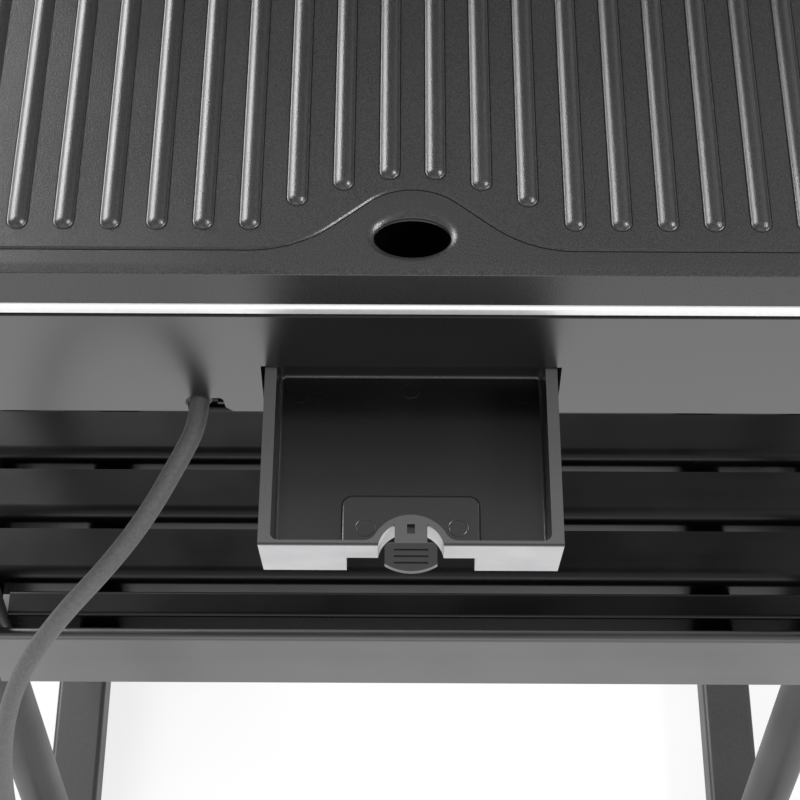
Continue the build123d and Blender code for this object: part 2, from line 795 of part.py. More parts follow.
write(tray_fascia, "tray_fascia")

# Bottom cover: a sheet that closes the housing from below, with the bay's opening and vent slots
with BuildPart() as bottom_cover:
    cover_half_x = inner_x - cover_gap
    with BuildSketch(Plane.XY.offset(wall_bottom_z)):
        with Locations((0, mid_y)):
            RectangleRounded(
                2 * cover_half_x,
                body_depth - 2 * wall - 2 * cover_gap,
                body_corner - wall - cover_gap,
            )
        with Locations((0, front_y + bay_length / 2)):
            Rectangle(2 * bay_half, bay_length, mode=Mode.SUBTRACT)
        relief_root_radius = cord_diameter / 2 + relief_root_wall
        relief_end_y = front_y + relief_recess + relief_length
        with Locations((cord_exit_x, front_y)):
            Rectangle(
                2 * (relief_root_radius + cover_cut_gap),
                2 * (relief_end_y - front_y + 2 * cover_cut_gap),
                mode=Mode.SUBTRACT,
            )
        with Locations((0, mid_y + vent_setback)):
            with GridLocations(vent_pitch_x, vent_pitch_y, vent_columns, vent_rows):
                SlotOverall(vent_length, vent_width, mode=Mode.SUBTRACT)
        with Locations((0, mid_y)):
            with GridLocations(2 * boss_x, 2 * boss_y, 2, 2):
                Circle(screw_shank / 2 + hole_clearance, mode=Mode.SUBTRACT)
    extrude(amount=cover_sheet)
write(bottom_cover, "bottom_cover")

# Bottom screws: pan heads under the cover, shanks up into the housing's bosses
with BuildPart() as bottom_screws:
    with BuildSketch(Plane.XY.offset(wall_bottom_z)):
        with Locations((0, mid_y)):
            with GridLocations(2 * boss_x, 2 * boss_y, 2, 2):
                Circle(screw_head / 2)
    extrude(amount=-screw_head_height)
    with BuildSketch(Plane.XY.offset(wall_bottom_z)):
        with Locations((0, mid_y)):
            with GridLocations(2 * boss_x, 2 * boss_y, 2, 2):
                Circle(screw_shank / 2)
    extrude(amount=cover_sheet + cover_gap)
write(bottom_screws, "bottom_screws")

# Thermostat: a boxed switch against the inside of the front wall, with a threaded bush and its nut
control_z = (wall_top_z + wall_bottom_z) / 2
inside_plane = front_plane.offset(-wall)
with BuildPart() as thermostat:
    with BuildSketch(inside_plane):
        with Locations((knob_x, control_z)):
            RectangleRounded(thermostat_width, thermostat_height, thermostat_corner)
    extrude(amount=-thermostat_depth)
    with BuildSketch(inside_plane):
        with Locations((knob_x, control_z)):
            Circle(bush_diameter / 2)
    extrude(amount=bush_length)
    nut_plane = front_plane.offset(dial_thickness)
    with BuildSketch(nut_plane):
        with Locations((knob_x, control_z)):
            RegularPolygon(bush_nut_width / 2, 6, major_radius=False)
    extrude(amount=bush_length - wall - dial_thickness)
    with BuildSketch(front_plane.offset(bush_length - wall)):
        with Locations((knob_x, control_z)):
            Circle(shaft_diameter / 2 + shaft_fit)
    extrude(amount=-(bush_length + shaft_seat), mode=Mode.SUBTRACT)
write(thermostat, "thermostat")

# Dial plate: a silver washer with its scale, held by the thermostat's nut
with BuildPart() as dial_plate:
    with BuildSketch(front_plane):
        with Locations((knob_x, control_z)):
            Circle(dial_diameter / 2)
            Circle(bush_diameter / 2 + hole_clearance, mode=Mode.SUBTRACT)
    extrude(amount=dial_thickness)
write(dial_plate, "dial_plate")

# Thermostat shaft, turning in the bush
knob_back = dial_thickness + knob_gap
with BuildPart() as thermostat_shaft:
    with BuildSketch(inside_plane.offset(-shaft_seat + 2 * shaft_fit)):
        with Locations((knob_x, control_z)):
            Circle(shaft_diameter / 2)
    extrude(amount=wall + shaft_seat - 2 * shaft_fit + knob_back + knob_depth - knob_cap)
write(thermostat_shaft, "thermostat_shaft")

# Control knob: turned skirt, a grip bar across the face and a socket for the shaft
with BuildPart() as control_knob:
    with BuildSketch(front_plane.offset(knob_back)):
        with Locations((knob_x, control_z)):
            Circle(knob_diameter / 2)
    extrude(amount=knob_skirt)
    with BuildSketch(front_plane.offset(knob_back + knob_skirt)):
        with Locations((knob_x, control_z)):
            Circle(knob_diameter / 2 - knob_step)
    extrude(amount=knob_depth - knob_skirt, taper=knob_draft)
    fillet(control_knob.faces().sort_by(Axis.Y)[0].edges(), knob_step)
    with BuildSketch(front_plane.offset(knob_back + knob_depth)):
        with Locations((knob_x + knob_grip_gap, control_z), (knob_x - knob_grip_gap, control_z)):
            SlotOverall(knob_diameter - 4 * knob_step, knob_grip_cut, rotation=90)
    extrude(amount=-knob_depth / 2, taper=knob_grip_draft, mode=Mode.SUBTRACT)
    with BuildSketch(front_plane.offset(knob_back)):
        with Locations((knob_x, control_z)):
            Circle(bush_nut_width / 2 + nut_clearance)
    extrude(amount=bush_length - wall - dial_thickness + knob_gap, mode=Mode.SUBTRACT)
    with BuildSketch(front_plane.offset(knob_back)):
        with Locations((knob_x, control_z)):
            Circle(shaft_diameter / 2)
    extrude(amount=knob_depth - knob_cap, mode=Mode.SUBTRACT)
    with BuildSketch(front_plane.offset(knob_back + knob_depth)):
        with Locations((knob_x, control_z + pointer_offset)):
            Rectangle(pointer_width, pointer_length)
    extrude(amount=-pointer_depth, mode=Mode.SUBTRACT)
write(control_knob, "control_knob")

# Knob pointer: a light inlay in the grip bar
with BuildPart() as knob_pointer:
    with BuildSketch(front_plane.offset(knob_back + knob_depth - pointer_depth)):
        with Locations((knob_x, control_z + pointer_offset)):
            Rectangle(pointer_width, pointer_length)
    extrude(amount=pointer_depth)
write(knob_pointer, "knob_pointer")

# Indicator lamp: a flanged red lens in the wall and its holder behind
with BuildPart() as lamp_lens:
    with BuildSketch(front_plane):
        with Locations((lamp_x, control_z)):
            Circle(lamp_flange / 2)
    extrude(amount=lamp_dome)
    fillet(lamp_lens.faces().sort_by(Axis.Y)[0].edges(), lamp_round)
    with BuildSketch(front_plane):
        with Locations((lamp_x, control_z)):
            Circle(lamp_diameter / 2)
    extrude(amount=-wall)
write(lamp_lens, "lamp_lens")

with BuildPart() as lamp_holder:
    with BuildSketch(inside_plane):
        with Locations((lamp_x, control_z)):
            Circle(lamp_flange / 2)
    extrude(amount=-lamp_body_length)
write(lamp_holder, "lamp_holder")

# Thermal cutout: a disc switch clipped against the underside of the plate
with BuildPart() as thermal_cutout:
    with BuildSketch(Plane.XY.offset(plate_under_z)):
        with Locations((cutout_x, mid_y)):
            Circle(cutout_diameter / 2)
    extrude(amount=-cutout_height)
    with BuildSketch(Plane.XY.offset(plate_under_z - cutout_height)):
        with Locations((cutout_x - cutout_diameter / 4, mid_y), (cutout_x + cutout_diameter / 4, mid_y)):
            Rectangle(cutout_tab_thickness, cutout_tab_width)
    extrude(amount=-cutout_height)
write(thermal_cutout, "thermal_cutout")

# Strain relief: a tapered sleeve moulded on the cord, with its tip in the notch
relief_tip_y = front_y + relief_recess
relief_tip_radius = cord_diameter / 2 + relief_tip_wall
with BuildPart() as strain_relief:
    with BuildSketch(Plane.YZ.offset(cord_exit_x)):
        with BuildLine():
            Polyline(
                (relief_tip_y, cord_exit_z),
                (relief_tip_y, cord_exit_z + relief_tip_radius),
                (relief_end_y, cord_exit_z + relief_root_radius),
                (relief_end_y, cord_exit_z),
                (relief_tip_y, cord_exit_z),
            )
        make_face()
    revolve(axis=Axis((cord_exit_x, relief_tip_y, cord_exit_z), (0, 1, 0)))
write(strain_relief, "strain_relief")

# Cord clamp: a saddle over the cord's tail, screwed to the bottom cover
clamp_y = relief_end_y + cord_clamp_length / 2 + cord_clamp_wall
clamp_top_z = cord_exit_z + cord_diameter / 2 + cord_clamp_wall
terminal_y = front_y + terminal_setback + terminal_length / 2
with BuildPart() as cord_clamp:
    with BuildSketch(Plane.XZ.offset(-clamp_y)):
        with Locations((cord_exit_x, (cover_top_z + clamp_top_z) / 2)):
            Rectangle(cord_clamp_width, clamp_top_z - cover_top_z)
        with Locations((cord_exit_x, cord_exit_z)):
            Circle(cord_diameter / 2, mode=Mode.SUBTRACT)
    extrude(amount=cord_clamp_length / 2, both=True)
write(cord_clamp, "cord_clamp")

# Terminal block on the bottom cover, behind the clamp
with BuildPart() as terminal_block:
    with BuildSketch(Plane.XY.offset(cover_top_z)):
        with Locations((cord_exit_x, terminal_y)):
            Rectangle(terminal_width, terminal_length)
    extrude(amount=terminal_height)
    with BuildSketch(Plane.XY.offset(cover_top_z + terminal_height)):
        with Locations((cord_exit_x, terminal_y)):
            with GridLocations(terminal_width / 3, terminal_length / 2, 3, 2):
                Circle(terminal_screw_hole / 2)
    extrude(amount=-terminal_screw_depth, mode=Mode.SUBTRACT)
write(terminal_block, "terminal_block")

# Inner wires: the cord's tail and the leads to the thermostat, the lamp and the element's tails
wire_z = cover_top_z + terminal_height / 2
terminal_end_y = terminal_y + terminal_length / 2
thermostat_end_y = front_y + wall + thermostat_depth
wire_routes = [
    [
        (cord_exit_x + terminal_width / 3, terminal_end_y, wire_z),
        (cord_exit_x + terminal_width / 3, terminal_end_y + wire_turn_gap, wire_z),
        (knob_x - wire_spacing, terminal_end_y + wire_turn_gap, wire_z + wire_rise),
        (knob_x - wire_spacing, thermostat_end_y, wire_z + wire_rise),
    ],
    [
        (cord_exit_x, terminal_end_y, wire_z),
        (cord_exit_x, mid_y + pass_far, wire_z),
        (element_end_x, mid_y + pass_far, wire_z),
        (element_end_x, mid_y + pass_far, tail_z),
    ],
    [
        (knob_x + wire_spacing, thermostat_end_y, wire_z + wire_rise),
        (knob_x + wire_spacing, mid_y - pass_far, wire_z + wire_rise),
        (element_end_x, mid_y - pass_far, wire_z + wire_spacing),
        (element_end_x, mid_y - pass_far, tail_z),
    ],
    [
        (knob_x + 2 * wire_spacing, thermostat_end_y, control_z),
        (knob_x + 2 * wire_spacing, thermostat_end_y + wire_rise, control_z),
        (lamp_x, thermostat_end_y + wire_rise, control_z),
        (lamp_x, front_y + wall + lamp_body_length, control_z),
    ],
]
with BuildPart() as inner_wires:
    with BuildSketch(Plane.XZ.offset(-relief_end_y)):
        with Locations((cord_exit_x, cord_exit_z)):
            Circle(cord_diameter / 2)
    extrude(amount=-(terminal_y - terminal_length / 2 - relief_end_y))
    for route in wire_routes:
        with BuildLine() as wire_line:
            FilletPolyline(*route, radius=wire_bend)
        with BuildSketch(Plane(wire_line.line @ 0, z_dir=wire_line.line % 0)):
            Circle(wire_diameter / 2)
        sweep(path=wire_line.line)
write(inner_wires, "inner_wires")

# Side handles: moulded loops on the side walls
for side, node in ((-1, "side_handle_left"), (1, "side_handle_right")):
    with BuildPart() as side_handle:
        with BuildSketch(Plane.XY.offset(control_z - side_handle_height / 2)):
            reach_x = side * (body_width / 2 + side_handle_reach / 2)
            with Locations((reach_x - side * side_handle_reach / 2, mid_y)):
                RectangleRounded(2 * side_handle_reach, side_handle_length, side_handle_thickness)
                Rectangle(
                    2 * (side_handle_reach - side_handle_thickness),
                    side_handle_length - 2 * side_handle_thickness,
                    mode=Mode.SUBTRACT,
                )
            with Locations((side * (body_width / 2 - side_handle_reach), mid_y)):
                Rectangle(2 * side_handle_reach, 2 * side_handle_length, mode=Mode.SUBTRACT)
        extrude(amount=side_handle_height)
        grip_edges = side_handle.edges().filter_by(
            lambda e: abs(e.center().X) > body_width / 2 + side_handle_thickness / 2
            and e.bounding_box().size.Z < 0.01
        )
        fillet(grip_edges, side_handle_round)
    write(side_handle, node)

# Hinge brackets: an upright on a screwed foot behind the housing, with a bore for the pin
# and a peg below it on which the open lid rests
rear_plane = Plane(origin=(0, rear_y, 0), x_dir=(-1, 0, 0), z_dir=(0, 1, 0))
bracket_foot_z = wall_top_z - hinge_drop
bracket_top_z = wall_top_z - bracket_top_drop
heel_w = hinge_heel * hinge_stop_share
stop_y = hinge_y + hinge_ear * open_cosine + heel_w * open_sine - open_cosine * (hinge_stop_radius + seat_gap)
stop_z = hinge_z - hinge_ear * open_sine + heel_w * open_cosine - open_sine * (hinge_stop_radius + seat_gap)
pin_radius = hinge_pin_diameter / 2
for side, node in ((-1, "hinge_bracket_left"), (1, "hinge_bracket_right")):
    inner = side * hinge_x
    outer = side * (hinge_x + hinge_sheet)
    with BuildPart() as hinge_bracket:
        with BuildSketch(Plane.YZ.offset(min(inner, outer))):
            with BuildLine():
                Polyline(
                    (rear_y, bracket_foot_z),
                    (rear_y, bracket_top_z),
                    (hinge_y - hinge_ear, wall_top_z + bracket_throat_rise),
                    (hinge_y - hinge_ear, hinge_z),
                    (hinge_y + hinge_ear, hinge_z),
                    (stop_y + hinge_stop_radius, stop_z + bracket_stop_rise),
                    (stop_y + hinge_stop_radius, stop_z - bracket_stop_drop),
                    (rear_y + hinge_sheet + bracket_heel_gap, bracket_foot_z),
                    (rear_y, bracket_foot_z),
                )
            make_face()
            with Locations((hinge_y, hinge_z)):
                Circle(hinge_ear)
                Circle(pin_radius, mode=Mode.SUBTRACT)
        extrude(amount=hinge_sheet)
        with BuildSketch(rear_plane):
            foot_x = -side * (hinge_x + hinge_foot / 2)
            with Locations((foot_x, (bracket_foot_z + bracket_top_z) / 2)):
                Rectangle(hinge_foot, bracket_top_z - bracket_foot_z)
        extrude(amount=hinge_sheet)
        with BuildSketch(Plane.YZ.offset(inner)):
            with Locations((stop_y, stop_z)):
                Circle(hinge_stop_radius)
        extrude(amount=-side * (hinge_side_gap + hinge_sheet))
    write(hinge_bracket, node)

# Hinge screws: pan heads on the brackets' feet
with BuildPart() as hinge_screws:
    with BuildSketch(rear_plane.offset(hinge_sheet)):
        with Locations((0, (bracket_foot_z + bracket_top_z) / 2)):
            with GridLocations(2 * hinge_x + hinge_foot + hinge_sheet, hinge_drop / 2, 2, 2):
                Circle(screw_head / 2)
    extrude(amount=screw_head_height)
    fillet(hinge_screws.faces().group_by(Axis.Y)[-1].edges(), screw_head_height / 2)
write(hinge_screws, "hinge_screws")

# Hinge pins: riveted through bracket and lid arm
with BuildPart() as hinge_pins:
    for side in (-1, 1):
        pin_inner_x = side * (hinge_x - hinge_side_gap - hinge_sheet - hinge_side_gap)
        pin_outer_x = side * (hinge_x + hinge_sheet)
        with BuildSketch(Plane.YZ.offset(pin_inner_x)):
            with Locations((hinge_y, hinge_z)):
                Circle(pin_radius)
        extrude(amount=pin_outer_x - pin_inner_x)
        with BuildSketch(Plane.YZ.offset(pin_inner_x)):
            with Locations((hinge_y, hinge_z)):
                Circle(pin_radius + pin_head_reach)
        extrude(amount=-side * pin_head_height)
        with BuildSketch(Plane.YZ.offset(pin_outer_x)):
            with Locations((hinge_y, hinge_z)):
                Circle(pin_radius + pin_rivet_reach)
        extrude(amount=side * pin_rivet_reach)
write(hinge_pins, "hinge_pins")

# The closed lid's front and rear walls, leaning in by the draft: sketch Y runs up the wall
lid_front = Plane(
    origin=(0, front_y + lid_inset, lid_bottom_z), x_dir=(1, 0, 0), z_dir=(0, -draft_cosine, draft_sine)
)
lid_rear = Plane(
    origin=(0, rear_y - lid_inset, lid_bottom_z), x_dir=(-1, 0, 0), z_dir=(0, draft_cosine, draft_sine)
)
lid_spots = [(x, lid_handle_height) for x in (-lid_post_x, lid_post_x)]

# Lid shell: a drawn steel dome, open below, pierced for the handle's screws
with BuildPart() as lid_shell:
    with BuildSketch(Plane.XY.offset(lid_bottom_z)):
        with Locations((0, mid_y)):
            RectangleRounded(body_width - 2 * lid_inset, body_depth - 2 * lid_inset, lid_corner)
    extrude(amount=lid_height, taper=lid_draft)
    fillet(lid_shell.faces().sort_by(Axis.Z)[-1].edges(), lid_top_round)
    offset(amount=-lid_sheet, openings=lid_shell.faces().sort_by(Axis.Z)[0])
    with BuildSketch(lid_front.offset(lid_sheet)):
        with Locations(*lid_spots):
            Circle(lid_screw / 2)
    extrude(amount=-3 * lid_sheet, mode=Mode.SUBTRACT)
swing_open(lid_shell)
write(lid_shell, "lid_shell")

# Lid handle bar and its posts
bar_origin = lid_front.from_local_coords((-lid_handle_length / 2, lid_handle_height, lid_handle_offset))
with BuildPart() as lid_handle:
    with BuildSketch(Plane(origin=bar_origin, x_dir=(0, 1, 0), z_dir=(1, 0, 0))):
        Circle(lid_handle_diameter / 2)
    extrude(amount=lid_handle_length)
    fillet(lid_handle.edges(), lid_handle_diameter / 3)
lid_handle_closed = lid_handle.part
swing_open(lid_handle)
write(lid_handle, "lid_handle")

with BuildPart() as lid_handle_posts:
    with BuildSketch(lid_front):
        with Locations(*lid_spots):
            Circle(lid_post_diameter / 2)
    extrude(amount=lid_handle_offset)
    add(lid_handle_closed, mode=Mode.SUBTRACT)
    with BuildSketch(lid_front):
        with Locations(*lid_spots):
            Circle(lid_screw / 2)
    extrude(amount=lid_screw_depth, mode=Mode.SUBTRACT)
swing_open(lid_handle_posts)
write(lid_handle_posts, "lid_handle_posts")

with BuildPart() as lid_handle_screws:
    with BuildSketch(lid_front.offset(-lid_sheet)):
        with Locations(*lid_spots):
            Circle(screw_head / 2)
    extrude(amount=-screw_head_height)
    with BuildSketch(lid_front.offset(-lid_sheet)):
        with Locations(*lid_spots):
            Circle(lid_screw / 2 - hole_clearance)
    extrude(amount=lid_sheet + lid_screw_depth - lid_screw_tip_gap)
swing_open(lid_handle_screws)
write(lid_handle_screws, "lid_handle_screws")

# Lid arms: a flange on the lid's rear wall and an eye that turns on the hinge pin
rear_foot_y = rear_y - lid_inset
with BuildPart() as lid_arms:
    for side in (-1, 1):
        arm_outer_x = side * (hinge_x - hinge_side_gap)
        with BuildSketch(Plane.YZ.offset(arm_outer_x)):
            lean = draft_sine / draft_cosine
            with BuildLine():
                Polyline(
                    (rear_foot_y - lean * arm_low, lid_bottom_z + arm_low),
                    (rear_foot_y - lean * arm_high, lid_bottom_z + arm_high),
                    (hinge_y + hinge_ear, hinge_z + hinge_heel),
                    (hinge_y + hinge_ear, hinge_z),
                    (hinge_y, hinge_z - hinge_ear),
                    (rear_foot_y - lean * arm_low, lid_bottom_z + arm_low),
                )
            make_face()
            with Locations((hinge_y, hinge_z)):
                Circle(hinge_ear)
                Circle(pin_radius + hinge_pin_fit, mode=Mode.SUBTRACT)
        extrude(amount=-side * hinge_sheet)
        with BuildSketch(lid_rear):
            with Locations((-side * (hinge_x - hinge_side_gap - hinge_foot / 2), (arm_low + arm_high) / 2)):
                Rectangle(hinge_foot, arm_high - arm_low)
        extrude(amount=hinge_sheet)
swing_open(lid_arms)
write(lid_arms, "lid_arms")

with BuildPart() as lid_arm_screws:
    with BuildSketch(lid_rear.offset(hinge_sheet)):
        arm_screw_x = hinge_x - hinge_side_gap - hinge_foot / 2 - hinge_sheet / 2
        with Locations((0, (arm_low + arm_high) / 2)):
            with GridLocations(2 * arm_screw_x, (arm_high - arm_low) / 2, 2, 2):
                Circle(screw_head / 2)
    extrude(amount=screw_head_height)
swing_open(lid_arm_screws)
write(lid_arm_screws, "lid_arm_screws")

# Leg sockets: flanged cups under the bottom cover
slats_depth = slat_count * slat_pitch - slat_gap
shelf_depth = slats_depth + 2 * (slat_gap + end_slat_width + end_slat_gap + rail_thickness)
leg_y = shelf_depth / 2 - leg_diameter / 2 + rail_proud
socket_radius = leg_diameter / 2 + socket_fit + socket_wall
with BuildPart() as leg_sockets:
    with BuildSketch(Plane.XY.offset(wall_bottom_z)):
        with Locations((0, mid_y)):
            with GridLocations(2 * leg_x, 2 * leg_y, 2, 2):
                RectangleRounded(socket_flange, socket_flange, socket_corner)
    extrude(amount=-socket_flange_thickness)
    with BuildSketch(Plane.XY.offset(wall_bottom_z)):
        with Locations((0, mid_y)):
            with GridLocations(2 * leg_x, 2 * leg_y, 2, 2):
                Circle(socket_radius)
    extrude(amount=-socket_depth)
    with BuildSketch(Plane.XY.offset(wall_bottom_z - socket_depth)):
        with Locations((0, mid_y)):
            with GridLocations(2 * leg_x, 2 * leg_y, 2, 2):
                Circle(leg_diameter / 2 + socket_fit)
    extrude(amount=socket_depth - socket_flange_thickness, mode=Mode.SUBTRACT)
write(leg_sockets, "leg_sockets")

# Legs: four straight tubes from the foot bars up into the sockets
foot_bar_top_z = pad_height + foot_bar_height
leg_top_z = wall_bottom_z - socket_flange_thickness - seat_gap
corners = [
    (-leg_x, -leg_y, "leg_front_left"),
    (leg_x, -leg_y, "leg_front_right"),
    (-leg_x, leg_y, "leg_rear_left"),
    (leg_x, leg_y, "leg_rear_right"),
]
for corner_x, corner_y, node in corners:
    with BuildPart() as leg:
        with BuildSketch(Plane.XY.offset(foot_bar_top_z)):
            with Locations((corner_x, mid_y + corner_y)):
                Circle(leg_diameter / 2)
                Circle(leg_diameter / 2 - leg_wall, mode=Mode.SUBTRACT)
        extrude(amount=leg_top_z - foot_bar_top_z)
    write(leg, node)

# Foot bars: box tubes along the floor under each pair of legs, with their end caps and floor pads
foot_bar_plane = Plane.XZ.offset(-(mid_y - foot_bar_length / 2))
for side, node in ((-1, "foot_bar_left"), (1, "foot_bar_right")):
    with BuildPart() as foot_bar:
        with BuildSketch(foot_bar_plane):
            with Locations((side * leg_x, pad_height + foot_bar_height / 2)):
                RectangleRounded(foot_bar_width, foot_bar_height, foot_bar_corner)
                RectangleRounded(
                    foot_bar_width - 2 * foot_bar_wall,
                    foot_bar_height - 2 * foot_bar_wall,
                    foot_bar_corner - foot_bar_wall,
                    mode=Mode.SUBTRACT,
                )
        extrude(amount=-foot_bar_length)
    write(foot_bar, node)

cap_spots = [(x, pad_height + foot_bar_height / 2) for x in (-leg_x, leg_x)]
with BuildPart() as foot_bar_caps:
    for end_y, way in ((mid_y - foot_bar_length / 2, 1), (mid_y + foot_bar_length / 2, -1)):
        with BuildSketch(Plane.XZ.offset(-end_y)):
            with Locations(*cap_spots):
                RectangleRounded(foot_bar_width, foot_bar_height, foot_bar_corner)
        extrude(amount=way * cap_thickness)
        with BuildSketch(Plane.XZ.offset(-end_y)):
            with Locations(*cap_spots):
                RectangleRounded(
                    foot_bar_width - 2 * foot_bar_wall - seat_gap,
                    foot_bar_height - 2 * foot_bar_wall - seat_gap,
                    foot_bar_corner - foot_bar_wall,
                )
        extrude(amount=-way * 4 * cap_thickness)
write(foot_bar_caps, "foot_bar_caps")

with BuildPart() as floor_pads:
    with BuildSketch():
        with Locations((0, mid_y)):
            with GridLocations(2 * leg_x, foot_bar_length - 2 * pad_inset, 2, 2):
                Circle(pad_diameter / 2)
    extrude(amount=pad_height)
    chamfer(floor_pads.faces().group_by(Axis.Z)[0].edges(), pad_height / 6)
write(floor_pads, "floor_pads")

# Cross bar between the foot bars, in line with the rear legs
with BuildPart() as rear_cross_bar:
    bar_half = leg_x - foot_bar_width / 2
    with BuildSketch(Plane.YZ.offset(-bar_half)):
        with Locations((mid_y + leg_y, pad_height + foot_bar_height / 2)):
            Circle(cross_bar_diameter / 2)
            Circle(cross_bar_diameter / 2 - leg_wall, mode=Mode.SUBTRACT)
    extrude(amount=2 * bar_half)
write(rear_cross_bar, "rear_cross_bar")

# Shelf rails: deep boards across the front and back, their ends hollowed to sit against the legs
shelf_top_z = wall_top_z - shelf_drop
slat_bottom_z = shelf_top_z - slat_thickness
for way, node in ((-1, "shelf_front_rail"), (1, "shelf_rear_rail")):
    with BuildPart() as shelf_rail:
        with BuildSketch(Plane.YZ.offset(-leg_x)):
            rail_y = mid_y + way * (shelf_depth - rail_thickness) / 2
            with Locations((rail_y, shelf_top_z - rail_height / 2)):
                Rectangle(rail_thickness, rail_height)
        extrude(amount=2 * leg_x)
        fillet(shelf_rail.edges().filter_by(Axis.X).group_by(Axis.Z)[-1], rail_round)
        with BuildSketch(Plane.XY.offset(shelf_top_z - rail_height)):
            with Locations((0, mid_y + way * leg_y)):
                with GridLocations(2 * leg_x, 1, 2, 1):
                    Circle(leg_diameter / 2 + hole_clearance / 3)
                with GridLocations(2 * (leg_x + leg_diameter / 2), 1, 2, 1):
                    Rectangle(leg_diameter, 2 * leg_diameter)
        extrude(amount=rail_height, mode=Mode.SUBTRACT)
    write(shelf_rail, node)

# Shelf side rails between the front and rear legs
with BuildPart() as shelf_side_rails:
    side_rail_half = leg_y - leg_diameter / 2
    with BuildSketch(Plane.XY.offset(slat_bottom_z - side_rail_height)):
        with Locations((leg_x, mid_y), (-leg_x, mid_y)):
            Rectangle(side_rail_thickness, 2 * side_rail_half)
    extrude(amount=side_rail_height)
write(shelf_side_rails, "shelf_side_rails")

# Shelf bearers: two battens under the slats, from rail to rail
with BuildPart() as shelf_bearers:
    bearer_length = shelf_depth - 2 * rail_thickness
    with BuildSketch(Plane.XY.offset(slat_bottom_z - bearer_height)):
        with Locations((bearer_x, mid_y), (-bearer_x, mid_y)):
            Rectangle(bearer_width, bearer_length)
    extrude(amount=bearer_height)
write(shelf_bearers, "shelf_bearers")

# Shelf slats: wide boards between the legs and a narrow one behind each rail
slat_width = slat_pitch - slat_gap
end_slat_y = shelf_depth / 2 - rail_thickness - end_slat_gap - end_slat_width / 2
end_slat_half = leg_x - leg_diameter / 2 - seat_gap
with BuildPart() as shelf_slats:
    for number in range(slat_count):
        slat_y = mid_y + (number - (slat_count - 1) / 2) * slat_pitch
        with BuildSketch(Plane.YZ.offset(-leg_x - slat_overhang)) as board:
            with Locations((slat_y, slat_bottom_z + slat_thickness / 2)):
                Rectangle(slat_width, slat_thickness)
            upper_corners = board.vertices().group_by(Axis.Y)[-1].sort_by(Axis.X)
            fillet(upper_corners[0], slat_front_round)
            fillet(upper_corners[1], slat_round)
        extrude(amount=2 * (leg_x + slat_overhang))
    for way in (-1, 1):
        with BuildSketch(Plane.YZ.offset(-end_slat_half)) as board:
            with Locations((mid_y + way * end_slat_y, slat_bottom_z + slat_thickness / 2)):
                Rectangle(end_slat_width, slat_thickness)
            fillet(board.vertices().group_by(Axis.Y)[-1], slat_round)
        extrude(amount=2 * end_slat_half)
write(shelf_slats, "shelf_slats")

# Shelf screws, from below through the bearers
with BuildPart() as shelf_screws:
    with BuildSketch(Plane.XY.offset(slat_bottom_z - bearer_height)):
        with Locations((0, mid_y)):
            with GridLocations(2 * bearer_x, slat_pitch, 2, slat_count):
                Circle(screw_head / 2)
    extrude(amount=-screw_head_height)
write(shelf_screws, "shelf_screws")

# Cord: straight out of its relief, down past the housing and the shelf, and along the floor.
# Points by hand: across, out from the front wall, and down from the wall's top.
cord_points = [
    (cord_exit_x, -relief_recess, cord_exit_drop),
    (cord_exit_x, 8.5, cord_exit_drop),
    (-74.8, 20.5, 51.6),
    (-84.5, 38, 57.2),
    (-97, 51, 67),
    (-116, 62, 86),
    (-134, 67.5, 120),
    (-147, 69.8, 177),
    (-154, 70.1, 257),
    (-157.5, 69.6, 344),
    (-159, 68.7, 431),
    (-159.5, 67.8, 518),
    (-159.5, 65.8, 603),
    (-159, 58, 666),
    (-158.5, 36, 710),
    (-158.2, 12, 730),
    (-158, -13, wall_top_z - cord_diameter / 2),
    (-158, -30, wall_top_z - cord_diameter / 2),
]
route = [Vector(x, front_y - out, wall_top_z - down) for x, out, down in cord_points]
runs = [b - a for a, b in zip(route, route[1:])]
cord_radii = []
for before, after in zip(runs, runs[1:]):
    half_turn = math.radians(before.get_angle(after)) / 2
    cord_radii.append(0.45 * min(before.length, after.length) / math.tan(half_turn))
print("cord runs", [round(run.length) for run in runs])
print("cord radii", [round(radius) for radius in cord_radii])
with BuildPart() as power_cord:
    with BuildLine() as cord_line:
        FilletPolyline(*route, radius=cord_radii)
    with BuildSketch(Plane(route[0], z_dir=runs[0])):
        Circle(cord_diameter / 2)
    sweep()
free_length = cord_line.wire().length
cord_section = math.pi * cord_diameter**2 / 4
print("cord length", round(free_length), "volume ratio", power_cord.part.volume / free_length / cord_section)
write(power_cord, "power_cord")

# Put-away coil on the floor: it spirals in, climbs one layer in half a turn, and spirals out again
coil_x = route[-1].X + coil_radius
coil_y = route[-1].Y + cord_diameter
coil_end = coil_turns_in + 0.5 + coil_turns_out
coil_floor_z = cord_diameter / 2


def coil_point(turn):
    """The coil's centre line: clockwise from the left, by the number of turns made."""
    climb = min(max(turn - coil_turns_in, 0), 0.5)
    dip = coil_pitch / (2 * math.pi) * math.sin(2 * math.pi * climb)
    going_in = coil_pitch * min(turn, coil_turns_in)
    going_out = coil_pitch * max(turn - coil_turns_in - 0.5, 0)
    reach = coil_radius - going_in - dip + going_out
    height = coil_floor_z + coil_layer_rise * (1 - math.cos(2 * math.pi * climb)) / 2
    angle = math.pi - 2 * math.pi * turn
    return Vector(coil_x + reach * math.cos(angle), coil_y + reach * math.sin(angle), height)


def coil_heading(turn):
    """The unit direction of the coil's centre line, square at its two ends."""
    if turn == 0:
        return Vector(0, 1, 0)
    if turn == coil_end:
        return Vector(1, 0, 0)
    return (coil_point(turn + 0.0005) - coil_point(turn - 0.0005)).normalized()


